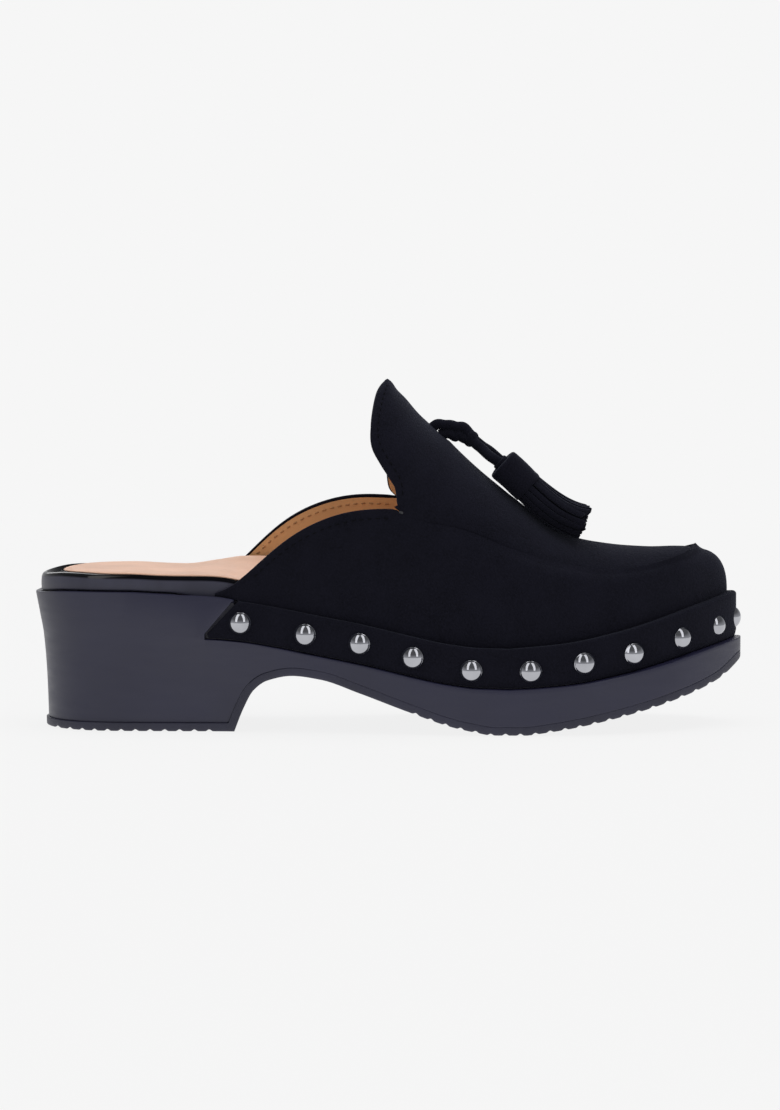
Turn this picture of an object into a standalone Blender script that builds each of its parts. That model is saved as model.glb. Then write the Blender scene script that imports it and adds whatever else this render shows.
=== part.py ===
"""A right-foot clog loafer: block-heeled platform, ribbed outsole, wrapped footbed, suede vamp with a stud
band, raised apron running into a tongue, and a knotted thong with two tassels.
Metres, +X to the toe, -Y to the outer side."""

import math

import bmesh
import bpy
import numpy as np
from mathutils import Matrix, Vector

MM = 0.001

# Platform sizes
SHOE_LENGTH = 255 * MM  # heel's top edge to the toe tip
BALL_WIDTH = 89 * MM
HEEL_HEIGHT = 50 * MM  # ground to the platform's top edge at the heel
BALL_HEIGHT = 28.3 * MM  # the same at the ball
TOE_HEIGHT = 45.2 * MM  # the same at the toe tip
TOE_SPRING = 23 * MM  # ground to the underside at the toe tip
ARCH_RISE = 20.2 * MM
HEEL_BLOCK_LENGTH = 72.2 * MM
BALL_REST_START = 163 * MM  # the flat spot under the ball, measured from the heel
BALL_REST_END = 177 * MM
HEEL_FLARE = 5 * MM  # how much the heel block narrows towards the ground
FLARE_DEPTH = 18 * MM  # height over which most of it happens
FLARE_RUN_OUT = 34 * MM  # length over which the narrowing dies out past the breast
TOE_DISH = 3.2 * MM  # how deep the platform's top is hollowed under the toes

# Outsole sizes
OUTSOLE_THICKNESS = 3 * MM
OUTSOLE_LIP = 0.9 * MM  # how far it stands out past the heel block
RIB_PITCH = 5.3 * MM
RIB_GROOVE_WIDTH = 1.9 * MM
RIB_GROOVE_DEPTH = 0.8 * MM
FORE_RIBS_START = 137 * MM
RIB_END_MARGIN = 5 * MM

# Footbed and insole sizes
BED_THICKNESS = 5.2 * MM
BED_HEEL_INSET = 2.2 * MM
BED_EDGE_ROUND = 1.4 * MM
ARCH_SUPPORT = 7 * MM  # how much the inner side rises at the arch
INSOLE_THICKNESS = 0.9 * MM
INSOLE_INSET = 2.4 * MM  # from the footbed's edge

# Upper sizes
WALL = 2 * MM
TONGUE_RISE = 91 * MM  # platform's top edge to the tongue's tip
BAND_DROP = 12.1 * MM  # how far the stud band covers the platform's side
BAND_TOE_EXTRA = 2 * MM
BAND_INSET_WING = 0.4 * MM  # band's face behind the platform's face
BAND_INSET_TOE = 2.6 * MM
LEDGE_WING = 1.8 * MM  # width of the step between band and vamp
LEDGE_TOE = 3.4 * MM
LEDGE_ROUND = 1.2 * MM
WING_TIP = 61.8 * MM  # rear end of the recess that takes the band's wing
WING_RUN = 10.6 * MM  # length of its slanting rear edge
WING_NOSE = 1.8 * MM
WING_CLEARANCE = 0.9 * MM
WING_FADE = 24 * MM
TAIL_START = 65.5 * MM  # rear end of the vamp above the band
SEAM_RIDGE = 1.4 * MM  # the apron seam's raised edge
GAP = 0.3 * MM  # between pieces that touch

# Least distance between two stations of a piece
PLATFORM_STEP = 1.2 * MM
OUTSOLE_STEP = 0.8 * MM
BED_STEP = 2.2 * MM

# Studs, thong and tassels
STUD_DIAMETER = 7.2 * MM
STUD_DOME = 2.5 * MM
STUD_RISE = 6.8 * MM  # stud's centre above the band's lower edge
THONG_DIAMETER = 3.4 * MM
KNOT_WIDTH = 7 * MM
TASSEL_LENGTH = 37.2 * MM
TASSEL_CAP_LENGTH = 13 * MM
TASSEL_TOP_WIDTH = 11.2 * MM
TASSEL_CAP_WIDTH = 12 * MM
TASSEL_END_WIDTH = 14.2 * MM
TASSEL_END_THICKNESS = 11.8 * MM
TASSEL_BEND = 4.4 * MM  # the skirt's end turns up this far along the apron
TASSEL_SPACING = 15.6 * MM  # between the tassels' axes, half way down
FRINGE_STRIPS = 12
FRINGE_STEP = 1 * MM  # how much every other strip is shorter

# Plan outline: station, share of the length; outer and inner half widths, shares of the ball width
PLAN = (
    (0.0216, 0.202, 0.202),
    (0.0706, 0.324, 0.324),
    (0.149, 0.362, 0.362),
    (0.255, 0.366, 0.356),
    (0.3725, 0.384, 0.350),
    (0.490, 0.434, 0.388),
    (0.608, 0.487, 0.470),
    (0.698, 0.500, 0.500),
    (0.784, 0.463, 0.483),
    (0.863, 0.374, 0.428),
    (0.933, 0.220, 0.350),
    (0.978, 0.056, 0.250),
)
TOE_TIP_SIDE = 0.101  # the toe tip's place towards the inner side, share of the ball width

# Underside: share of the way from breast to ball, share of the arch rise
ARCH_LINE = (
    (0, 0), (0.035, 0.40), (0.075, 0.73), (0.13, 0.91), (0.23, 1),
    (0.34, 0.94), (0.49, 0.713), (0.68, 0.40), (0.86, 0.13), (1, 0),
)
# Underside: share of the way from ball to toe tip, share of the toe spring
TOE_LINE = ((0, 0), (0.2, 0.10), (0.45, 0.275), (0.7, 0.50), (0.9, 0.755), (1, 1))

# Platform's open top edge round the heel: station, share of the heel height
HEEL_TOP = ((0, 0.968), (0.038, 0.995), (0.07, 1), (0.135, 1), (0.18, 0.988), (0.262, 0.966), (0.3, 0.93))
# The seat that carries the upper, behind the ball: station, share of the way up from ball to heel height
SEAT_REAR = (
    (0.1, 0.80), (0.24, 0.78), (0.29, 0.74), (0.34, 0.648), (0.40, 0.51),
    (0.46, 0.375), (0.52, 0.215), (0.58, 0.068), (0.625, 0.01), (0.667, 0),
)
# The seat before the ball: station, share of the way up from ball height to toe height
SEAT_FRONT = ((0.667, 0), (0.749, 0.107), (0.82, 0.30), (0.88, 0.515), (0.94, 0.77), (1, 1))

# Footbed: station, thickness share at the outer edge, share of the arch support at the inner edge
BED_LINE = (
    (0, 1, 0), (0.14, 1, 0), (0.21, 1.03, 0.03), (0.26, 1.12, 0.31), (0.30, 1.2, 0.75),
    (0.37, 1.15, 1), (0.52, 0.9, 0.55), (0.66, 0.72, 0.1), (0.85, 0.65, 0), (1, 0.65, 0),
)

# Apron and tongue, one row for each section from the toe back to the tongue's tip.
# Lengths along the shoe are shares of its length, widths of the ball width, rises of the tongue rise.
# base, edge, outer half, inner half, outer rise, inner rise, crown, crown rise, roundness
SECTIONS = (
    (1.000, 0.9275, -0.079, 0.079, 0.196, 0.196, 0.9275, 0.196, 0),
    (0.990, 0.9262, -0.020, 0.133, 0.198, 0.198, 0.9265, 0.206, 0),
    (0.969, 0.9190, 0.051, 0.185, 0.202, 0.202, 0.9195, 0.226, 0),
    (0.937, 0.9020, 0.135, 0.228, 0.209, 0.209, 0.9020, 0.252, 0),
    (0.886, 0.8640, 0.225, 0.272, 0.222, 0.224, 0.8650, 0.292, 0),
    (0.824, 0.8100, 0.283, 0.307, 0.251, 0.255, 0.8140, 0.345, 0.05),
    (0.765, 0.7570, 0.313, 0.325, 0.301, 0.305, 0.7700, 0.398, 0.15),
    (0.706, 0.7040, 0.333, 0.335, 0.357, 0.362, 0.7310, 0.462, 0.35),
    (0.647, 0.6470, 0.348, 0.345, 0.427, 0.433, 0.6920, 0.552, 0.6),
    (0.588, 0.5880, 0.360, 0.353, 0.481, 0.489, 0.6490, 0.636, 0.85),
    (0.511, 0.5110, 0.371, 0.360, 0.505, 0.516, 0.5860, 0.754, 1),
    (0.511, 0.4960, 0.360, 0.350, 0.632, 0.640, 0.5630, 0.809, 1),
    (0.511, 0.4775, 0.315, 0.307, 0.742, 0.748, 0.5420, 0.864, 1),
    (0.511, 0.4757, 0.247, 0.242, 0.848, 0.852, 0.5250, 0.920, 1),
    (0.511, 0.4815, 0.163, 0.161, 0.932, 0.934, 0.5118, 0.958, 1),
    (0.511, 0.4880, 0.098, 0.097, 0.972, 0.973, 0.5052, 0.985, 1),
    (0.511, 0.4955, 0.030, 0.030, 0.998, 0.998, 0.4984, 1.002, 1),
)
NOTCH_ROW = 10  # where the tongue leaves the seam

# Topline from the notch back to the wing: station, outer half, inner half, outer rise, inner rise
TOPLINE = (
    (0.2568, 0.338, 0.331, 0.049, 0.054),
    (0.272, 0.338, 0.330, 0.067, 0.090),
    (0.298, 0.338, 0.328, 0.125, 0.166),
    (0.335, 0.341, 0.329, 0.234, 0.281),
    (0.376, 0.347, 0.334, 0.340, 0.380),
    (0.432, 0.357, 0.343, 0.437, 0.463),
    (0.511, 0.371, 0.360, 0.507, 0.515),
)

# Studs along one side: share of the way along the band from the breast to the toe tip, share of the stud rise
STUDS = (
    (0.011, 1), (0.125, 1), (0.221, 1.1), (0.315, 1.04), (0.4185, 0.92),
    (0.5225, 0.9), (0.618, 1.04), (0.712, 0.96), (0.818, 0.97), (0.920, 0.94),
)

# Thong's loop over the tongue: station, height above the crown line as a share of the thong's diameter
LOOP_ROUTE = ((0.5635, 0.26), (0.5680, 0.94), (0.5780, 1.62), (0.5880, 2.16), (0.5960, 2.52))
LOW_ROUTE = ((0.5870, 0.31), (0.5905, 0.80), (0.5950, 1.15))
KNOT_STATION = 0.6140
KNOT_HEIGHT = 2.45  # share of the thong's diameter
TASSEL_TOP_STATION = 0.6598
TASSEL_TOP_HEIGHT = 8.9 * MM  # tassel's axis above the crown line
TASSEL_END_STATION = 0.7700
TASSEL_END_HEIGHT = 1.5 * MM

SUEDE = ((0.012, 0.012, 0.016), 0.95, 0.0)
PLATFORM_BLACK = ((0.035, 0.036, 0.050), 0.45, 0.0)
RUBBER_BLACK = ((0.030, 0.031, 0.042), 0.6, 0.0)
PATENT_BLACK = ((0.03, 0.03, 0.04), 0.12, 0.0)
TAN_LEATHER = ((0.76, 0.50, 0.34), 0.6, 0.0)
NICKEL = ((0.62, 0.62, 0.64), 0.2, 1.0)


def glide(rows, at):
    """Monotone cubic through (x, y) rows, so that flats stay flat and nothing overshoots."""
    x, y = np.array(rows, float).T
    step = np.diff(x)
    slope = np.diff(y) / step
    turn = np.zeros(len(x))
    turn[0], turn[-1] = slope[0], slope[-1]
    same = slope[:-1] * slope[1:] > 0
    before = 2 * step[1:] + step[:-1]
    after = step[1:] + 2 * step[:-1]
    with np.errstate(divide="ignore", invalid="ignore"):
        mean = (before + after) / (before / slope[:-1] + after / slope[1:])
    turn[1:-1] = np.where(same, mean, 0)
    at = np.clip(at, x[0], x[-1])
    i = np.clip(np.searchsorted(x, at, side="right") - 1, 0, len(step) - 1)
    t = (at - x[i]) / step[i]
    low = (1 + 2 * t) * (1 - t) ** 2 * y[i] + t * (1 - t) ** 2 * step[i] * turn[i]
    high = t**2 * (3 - 2 * t) * y[i + 1] + t**2 * (t - 1) * step[i] * turn[i + 1]
    return low + high


def spline(knots, values, at, closed=False):
    """Smooth cubic through values (rows of coordinates) at knots."""
    knots, values = np.asarray(knots, float), np.asarray(values, float)
    n = len(knots) - 1
    step = np.diff(knots)
    rise = np.diff(values, axis=0) / step[:, None]
    bend = np.eye(n + 1)
    right = np.zeros_like(values)
    for i in range(1, n):
        bend[i, i - 1 : i + 2] = step[i - 1], 2 * (step[i - 1] + step[i]), step[i]
        right[i] = 6 * (rise[i] - rise[i - 1])
    if closed:
        bend[0, [0, 1, n - 1]] = 2 * (step[-1] + step[0]), step[0], step[-1]
        right[0] = 6 * (rise[0] - rise[-1])
        bend[n, 0] = -1
    second = np.linalg.solve(bend, right)
    at = np.clip(at, knots[0], knots[-1])
    i = np.clip(np.searchsorted(knots, at, side="right") - 1, 0, n - 1)
    h = step[i][:, None]
    a = (knots[i + 1] - at)[:, None] / h
    b = 1 - a
    bulge = ((a**3 - a) * second[i] + (b**3 - b) * second[i + 1]) * h**2 / 6
    return a * values[i] + b * values[i + 1] + bulge


def ease(x):
    """0 to 1 with soft ends."""
    x = np.clip(x, 0, 1)
    return x * x * (3 - 2 * x)


def unit(v):
    return v / np.maximum(np.linalg.norm(v, axis=-1, keepdims=True), 1e-12)


def make_outline():
    """Dense closed outline from the heel round the outer side to the toe and back, with inward normals."""
    rows = np.array(PLAN)
    outer = np.column_stack([rows[:, 0], -rows[:, 1]])
    inner = np.column_stack([rows[:, 0], rows[:, 2]])[::-1]
    points = np.vstack([[(0, 0)], outer, [(1, TOE_TIP_SIDE)], inner, [(0, 0)]])
    points = points * (SHOE_LENGTH, BALL_WIDTH)
    knots = np.concatenate([[0], np.cumsum(np.linalg.norm(np.diff(points, axis=0), axis=1))])
    dense = spline(knots, points, np.linspace(0, knots[-1], 4001)[:-1], closed=True)
    ahead = np.roll(dense, -1, axis=0) - np.roll(dense, 1, axis=0)
    inward = unit(np.column_stack([-ahead[:, 1], ahead[:, 0]]))
    start, turn = dense[:, 0].argmin(), dense[:, 0].argmax()
    outer_side = np.arange(start, turn + 1)
    inner_side = np.arange(turn, start + len(dense) + 1)[::-1] % len(dense)
    return {side: (dense[i], inward[i]) for side, i in (("outer", outer_side), ("inner", inner_side))}


OUTLINE = make_outline()


def outline_at(side, x):
    """Outline points and inward normals of one side at stations x."""
    points, inward = OUTLINE[side]
    place = np.interp(x, points[:, 0], np.arange(len(points)))
    columns = [np.interp(place, np.arange(len(points)), c) for c in (*points.T, *inward.T)]
    return np.column_stack(columns[:2]), unit(np.column_stack(columns[2:]))


def underside(x):
    """Height of the outsole's lower face: flat heel, arch, flat spot, toe spring."""
    arch = glide(ARCH_LINE, (x - HEEL_BLOCK_LENGTH) / (BALL_REST_START - HEEL_BLOCK_LENGTH))
    toe = glide(TOE_LINE, (x - BALL_REST_END) / (SHOE_LENGTH - BALL_REST_END))
    return np.where(x <= HEEL_BLOCK_LENGTH, 0, ARCH_RISE * arch) + TOE_SPRING * toe


def above_underside(x, thickness):
    """Height of the curve that runs parallel to the underside, thickness above it."""
    reach = np.linspace(-1, 1, 61)[:, None] * thickness
    return np.max(underside(x + reach) + np.sqrt(thickness**2 - reach**2 + 1e-15), axis=0)


def seat(x):
    """Height of the platform's edge under the upper."""
    station = x / SHOE_LENGTH
    rear = BALL_HEIGHT + (HEEL_HEIGHT - BALL_HEIGHT) * glide(SEAT_REAR, station)
    front = BALL_HEIGHT + (TOE_HEIGHT - BALL_HEIGHT) * glide(SEAT_FRONT, station)
    return np.where(station < SEAT_FRONT[0][0], rear, front)


def heel_top(x):
    """Height of the platform's open edge, which stands above the seat."""
    return HEEL_HEIGHT * glide(HEEL_TOP, x / SHOE_LENGTH)


def open_share(x, run):
    """1 where the platform's edge is open, 0 a run's length past the wing's notch."""
    return 1 - ease((x - WING_TIP - WING_RUN) / run)


def platform_top(x):
    """Height of the platform's top edge, with its short drop at the wing's notch."""
    return np.where(x < WING_TIP + WING_RUN, heel_top(x), seat(x))


def bed_floor(x):
    """Height of the platform's top under the footbed."""
    rise = 1 - ease((x - WING_TIP - WING_RUN + WING_FADE) / WING_FADE)
    return seat(x) + (heel_top(x) - seat(x)) * rise


def bed_line(x):
    """Height that the footbed's thickness is measured from: the open edge, easing down to the seat."""
    rise = 1 - ease((x - WING_TIP) / (2 * WING_FADE))
    return seat(x) + (heel_top(x) - seat(x)) * rise


def toe_share(x):
    return np.clip((x - BALL_REST_START) / (SHOE_LENGTH - BALL_REST_START), 0, 1)


def wing_share(x):
    """0 at the wing, 1 from the ball on."""
    return ease((x - WING_TIP) / (BALL_REST_START - WING_TIP))


def band_low(x):
    return seat(x) - BAND_DROP - BAND_TOE_EXTRA * toe_share(x)


def wing_height(x):
    """Height of the recess's slanting rear edge at station x."""
    low = band_low(np.array([WING_TIP]))[0] + WING_NOSE
    high = heel_top(np.array([WING_TIP + WING_RUN]))[0]
    return low + (high - low) * (x - WING_TIP) / WING_RUN


def wing_start(z):
    """Station of the wing's rear edge at height z, clear of the recess."""
    low, high = wing_height(WING_TIP), wing_height(WING_TIP + WING_RUN)
    return WING_TIP + WING_CLEARANCE + WING_RUN * (z - low) / (high - low)


def band_inset(x):
    middle = (BAND_INSET_WING + BAND_INSET_TOE) / 3
    toe = (BAND_INSET_TOE - middle) * ease(toe_share(x))
    return BAND_INSET_WING + (middle - BAND_INSET_WING) * wing_share(x) + toe


def vamp_inset(x):
    """How far the vamp's foot stands inside the platform's outline."""
    return band_inset(x) + LEDGE_WING + (LEDGE_TOE - LEDGE_WING) * wing_share(x)


def bed_inset(x):
    inside = vamp_inset(x) + WALL + 2.5 * GAP
    return BED_HEEL_INSET + (inside - BED_HEEL_INSET) * ease((x - (WING_TIP - WING_FADE)) / WING_FADE)


def dish(x):
    station = x / SHOE_LENGTH
    return TOE_DISH * ease((station - 0.56) / 0.2) * (1 - ease((station - 0.86) / 0.14))


def flare(x, z):
    """How far the heel block's face has drawn in at height z."""
    start = heel_top(x) + (band_low(x) - heel_top(x)) * ease((x / WING_TIP - 0.5) / 0.5)
    fade = 1 - ease((x - WING_TIP) / (HEEL_BLOCK_LENGTH - WING_TIP + FLARE_RUN_OUT))
    return HEEL_FLARE * fade * (1 - np.exp(-np.clip(start - z, 0, None) / FLARE_DEPTH))


def spread(start, end, steps, bunch=0):
    """Stations from start to end, closer together at the start (-1) or at the end (1)."""
    share = np.linspace(0, 1, steps + 1)
    if bunch < 0:
        share = 1 - np.cos(share * math.pi / 2)
    if bunch > 0:
        share = np.sin(share * math.pi / 2)
    return start + (end - start) * share


def merged(*spans, closest):
    """All stations in order, without near doubles. The first span's stations are always kept."""
    kept = list(spans[0])
    for x in np.concatenate(spans[1:]):
        if min(abs(x - k) for k in kept) > closest:
            kept.append(x)
    return np.array(sorted(kept))


class Ring:
    """Matching points round the outline: heel, outer side, toe, inner side."""

    def __init__(self, stations):
        outer, outer_in = outline_at("outer", stations)
        inner, inner_in = outline_at("inner", stations[-2:0:-1])
        self.x = np.concatenate([stations, stations[-2:0:-1]])
        self.plan = np.vstack([outer, inner])
        self.inward = np.vstack([outer_in, inner_in])
        self.inward[0], self.inward[len(stations) - 1] = (1, 0), (-1, 0)
        self.inner_side = np.arange(len(self.x)) >= len(stations)
        self.half = len(stations)

    def at(self, inset, z):
        plan = self.plan + self.inward * np.broadcast_to(inset, self.x.shape)[:, None]
        return np.column_stack([plan, np.broadcast_to(z, self.x.shape)])


def ladder_rows(ring, corners, columns, sag):
    """Rows across a closed ring of corners: one point at each tip, columns points between the sides elsewhere.
    Returns the new points and each row as numbers, negative for a new point."""
    new, rows = [], [[0]]
    count = len(corners)
    for i in range(1, ring.half - 1):
        a, b = corners[i], corners[count - i]
        row = [i]
        for c in range(columns):
            w = (c + 1) / (columns + 1)
            drop = sag(ring.x[i]) * (1 - (2 * w - 1) ** 4)
            new.append(a + (b - a) * w - (0, 0, drop))
            row.append(-len(new))
        rows.append(row + [count - i])
    rows.append([ring.half - 1])
    return new, rows


def strip(a, b):
    """Faces between two rows of vertex numbers, one of which may be a single point."""
    if len(a) == 1:
        return [(a[0], b[i], b[i + 1]) for i in range(len(b) - 1)]
    if len(b) == 1:
        return [(b[0], a[i + 1], a[i]) for i in range(len(a) - 1)]
    return [
        face for i in range(len(a) - 1) for face in ((a[i], b[i], b[i + 1]), (a[i], b[i + 1], a[i + 1]))
    ]


def solid_from_rings(name, ring, rings, look, columns=(0, 0), sags=(None, None)):
    """A solid whose side runs through the rings, from below upwards, closed by ladders below and above."""
    points = list(np.vstack(rings))
    count = len(rings[0])
    faces = []
    for k in range(len(rings) - 1):
        for i in range(count):
            j = (i + 1) % count
            faces.append((k * count + i, k * count + j, (k + 1) * count + j, (k + 1) * count + i))
    for level, cols, sag in ((0, columns[0], sags[0]), (len(rings) - 1, columns[1], sags[1])):
        base = level * count
        new, rows = ladder_rows(ring, rings[level], cols, sag or (lambda x: 0))
        start = len(points)
        points += new
        rows = [[base + v if v >= 0 else start - v - 1 for v in row] for row in rows]
        for a, b in zip(rows, rows[1:]):
            faces += strip(a, b)
    return add_solid(name, points, faces, look)


def material(name, look):
    colour, roughness, metallic = look
    found = bpy.data.materials.get(name) or bpy.data.materials.new(name)
    found.use_nodes = True
    shader = found.node_tree.nodes["Principled BSDF"]
    shader.inputs["Base Color"].default_value = (*colour, 1)
    shader.inputs["Roughness"].default_value = roughness
    shader.inputs["Metallic"].default_value = metallic
    found.diffuse_color = (*colour, 1)
    return found


def add_object(name, data, look):
    thing = bpy.data.objects.new(name, data)
    bpy.context.scene.collection.objects.link(thing)
    if not data.materials:
        data.materials.append(material(name, look))
    thing.parent = bpy.data.objects["shoe"]
    return thing


def add_solid(name, points, faces, look):
    mesh = bpy.data.meshes.new(name)
    mesh.from_pydata([tuple(map(float, p)) for p in points], [], [tuple(map(int, f)) for f in faces])
    shape = bmesh.new()
    shape.from_mesh(mesh)
    bmesh.ops.recalc_face_normals(shape, faces=shape.faces)
    shape.to_mesh(mesh)
    shape.free()
    mesh.shade_smooth()
    mesh.set_sharp_from_angle(angle=math.radians(40))
    return add_object(name, mesh, look)


def arch_stations():
    """Stations of breast and arch, shared by the platform and the outsole under it."""
    thick = OUTSOLE_THICKNESS
    reach = BALL_REST_START - HEEL_BLOCK_LENGTH
    return np.concatenate([
        HEEL_BLOCK_LENGTH - thick * np.array([1.1, 0.65, 0.3]),
        spread(HEEL_BLOCK_LENGTH, HEEL_BLOCK_LENGTH + 0.28 * reach, 10, -1),
        spread(HEEL_BLOCK_LENGTH + 0.28 * reach, FORE_RIBS_START, 8)[1:],
    ])


def heel_stations():
    """Stations of the heel's turn, shared by every layer above the outsole."""
    return spread(0, SHOE_LENGTH * 0.15, 7, -1)


def fore_stations():
    return spread(BALL_REST_START - 0.1 * SHOE_LENGTH, SHOE_LENGTH * 0.93, 11)


def toe_stations():
    """Stations of the toe's turn, shared by every layer."""
    return spread(SHOE_LENGTH * 0.93, SHOE_LENGTH, 6, 1)


def platform_stations():
    notch, slit = WING_TIP + WING_RUN, WING_CLEARANCE * 0.3
    wing = [WING_TIP, WING_TIP + slit, notch - slit, notch + slit]
    return merged(
        np.concatenate([heel_stations(), wing, toe_stations()]),
        np.array([BALL_REST_START, BALL_REST_END]),
        arch_stations(),
        spread(WING_TIP, notch, 4),
        spread(SHOE_LENGTH * 0.15, WING_TIP, 3),
        fore_stations(),
        closest=PLATFORM_STEP,
    )


def make_platform():
    """The moulded platform with its block heel, recessed at the side for the stud band."""
    ring = Ring(platform_stations())
    x = ring.x
    top, low = platform_top(x), band_low(x)
    bottom = above_underside(x, OUTSOLE_THICKNESS + GAP)
    roof = np.where(x < WING_TIP + WING_RUN, wing_height(x), top)
    recess = np.where(x > WING_TIP, band_inset(x) + WALL + GAP, 0)
    full = x > WING_TIP + WING_RUN
    levels = (
        (bottom, 0),
        (bottom + (low - bottom) * 0.34, 0),
        (bottom + (low - bottom) * 0.68, 0),
        (low, 0),
        (low + GAP, recess),
        (np.clip(roof, low + 2 * GAP, top - 3 * GAP), recess),
        (np.clip(roof + GAP, low + 3 * GAP, top - 1.5 * GAP), np.where(full, recess, 0)),
        (top, np.where(full, recess + 1.4 * GAP, 0)),
    )
    rings = [ring.at(inset + flare(x, z), z) for z, inset in levels]
    rings.append(ring.at(bed_inset(x), bed_floor(x)))
    rings.append(ring.at(bed_inset(x) + INSOLE_INSET, bed_floor(x) - 1.25 * dish(x) - GAP))
    return solid_from_rings("platform", ring, rings, PLATFORM_BLACK)


def rib_stations():
    """Heel and forefoot stations of the outsole's grooves."""
    heel = np.arange(RIB_END_MARGIN, HEEL_BLOCK_LENGTH - OUTSOLE_THICKNESS - RIB_GROOVE_WIDTH, RIB_PITCH)
    fore = np.arange(FORE_RIBS_START, SHOE_LENGTH - RIB_END_MARGIN, RIB_PITCH)
    return np.concatenate([heel, fore])


def make_outsole():
    """The rubber layer under heel, arch and forefoot, with V grooves running out at its sides."""
    grooves = rib_stations()
    half = RIB_GROOVE_WIDTH / 2
    turns = [spread(0, RIB_END_MARGIN - half, 4, -1)[:-1], grooves - half, grooves, grooves + half]
    tip = toe_stations()
    stations = merged(
        np.concatenate([*turns, tip[tip > grooves.max() + half]]),
        arch_stations(),
        tip,
        closest=OUTSOLE_STEP,
    )
    ring = Ring(stations)
    x = ring.x
    cut = RIB_GROOVE_DEPTH * (np.abs(x[:, None] - grooves).min(axis=1) < half / 2)
    lip = OUTSOLE_LIP * np.clip(flare(x, 0) / HEEL_FLARE, 0, 1)
    side = flare(x, OUTSOLE_THICKNESS) - lip
    low = underside(x)
    high = above_underside(x, OUTSOLE_THICKNESS)
    edge = np.minimum(low + OUTSOLE_THICKNESS * 0.3, high - GAP)
    rings = [
        ring.at(side + 2 * GAP, low + cut),
        ring.at(side, edge + cut),
        ring.at(side, high),
    ]
    return solid_from_rings("outsole", ring, rings, RUBBER_BLACK)


def bed_stations():
    notch = WING_TIP + WING_RUN
    return merged(
        np.concatenate([heel_stations(), toe_stations()]),
        spread(notch - WING_FADE, notch, 5),
        spread(notch, FORE_RIBS_START, 7),
        fore_stations(),
        closest=BED_STEP,
    )


def bed_edge(ring):
    """Height of the footbed's top along its edge."""
    station = ring.x / SHOE_LENGTH
    rows = np.array(BED_LINE)
    thick = BED_THICKNESS * glide(rows[:, :2], station)
    arch = np.where(ring.inner_side, ARCH_SUPPORT * glide(rows[:, ::2], station), 0)
    return bed_line(ring.x) + GAP + thick + arch


def bed_sag(x):
    """How far the middle of the footbed lies under its edges."""
    station = x / SHOE_LENGTH
    return dish(x) + ARCH_SUPPORT * 0.25 * ease((station - 0.22) / 0.1) * (1 - ease((station - 0.4) / 0.2))


def make_footbed():
    """The wrapped footbed, whose rounded edge shows round the heel."""
    ring = Ring(bed_stations())
    inset, top, edge = bed_inset(ring.x), bed_floor(ring.x), bed_edge(ring)
    rings = [
        ring.at(inset + INSOLE_INSET, top - dish(ring.x) + 1.5 * GAP),
        ring.at(inset, top + 1.5 * GAP),
        ring.at(inset, edge - BED_EDGE_ROUND),
        ring.at(inset + BED_EDGE_ROUND * 0.3, edge - BED_EDGE_ROUND * 0.3),
        ring.at(inset + BED_EDGE_ROUND, edge),
        ring.at(inset + INSOLE_INSET, edge),
    ]
    return solid_from_rings("footbed", ring, rings, PATENT_BLACK, (0, 3), (None, bed_sag))


def make_insole():
    """The tan sock that covers the footbed."""
    ring = Ring(bed_stations())
    inset, edge = bed_inset(ring.x) + INSOLE_INSET, bed_edge(ring) + GAP
    rings = [
        ring.at(inset, edge),
        ring.at(inset, edge + INSOLE_THICKNESS * 0.6),
        ring.at(inset + INSOLE_THICKNESS * 0.4, edge + INSOLE_THICKNESS),
    ]
    return solid_from_rings("insole", ring, rings, TAN_LEATHER, (3, 3), (bed_sag, bed_sag))


def sections_at(u):
    """Edges, crown, base station and roundness of the apron and tongue at section numbers u."""
    table = np.array(SECTIONS)
    base, edge, outer, inner, outer_rise, inner_rise, crown, crown_rise, roundness = spline(
        np.arange(len(table)), table, u
    ).T
    base = glide(np.column_stack([np.arange(NOTCH_ROW + 1), table[: NOTCH_ROW + 1, 0]]), u)
    floor = seat(base * SHOE_LENGTH)
    outer_edge = np.column_stack([edge * SHOE_LENGTH, -outer * BALL_WIDTH, floor + outer_rise * TONGUE_RISE])
    inner_edge = np.column_stack([edge * SHOE_LENGTH, inner * BALL_WIDTH, floor + inner_rise * TONGUE_RISE])
    middle = (inner - outer) / 2 * BALL_WIDTH
    top = np.column_stack([crown * SHOE_LENGTH, middle, floor + crown_rise * TONGUE_RISE])
    return base * SHOE_LENGTH, outer_edge, inner_edge, top, np.clip(roundness, 0, 1)


def crown_height(x):
    """Height of the apron and tongue's crown line at stations x."""
    top = sections_at(np.linspace(0, len(SECTIONS) - 1, 400))[3]
    order = np.argsort(top[:, 0])
    return np.interp(x, top[order, 0], top[order, 2])


def seam_sections():
    """Section numbers from the toe to the notch, shared by the vamp's top and the apron's edge."""
    share = np.linspace(0, 1, 18)
    return NOTCH_ROW * (0.55 * share + 0.45 * share**2)


def normals_of(grid):
    """Unit normals of a grid of points, by its rows and columns."""
    return unit(np.cross(np.gradient(grid, axis=1), np.gradient(grid, axis=0)))


def apron_grid(u, columns):
    """Outer face of the apron and tongue, a row for each section from outer to inner edge, with normals."""
    outer, inner, top, roundness = sections_at(u)[1:]
    middle = (outer + inner) / 2
    half, lift = (outer - inner) / 2, top - middle
    w = np.linspace(-1, 1, columns)
    grid = np.empty((len(u), columns, 3))
    for c, share in enumerate(w):
        arch = middle - half * math.sin(share * math.pi / 2) + lift * math.cos(share * math.pi / 2)
        crown = middle - half * share + lift * (1 - share**2)
        grid[:, c] = crown + (arch - crown) * roundness[:, None]
    grid[0] = outer[0]
    normals = normals_of(grid)
    normals[0] = (0, 0, 1)
    return grid, normals * np.sign(normals[..., 2:] + 1e-9 + 10 * (roundness[:, None, None] > 0.9))


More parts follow.
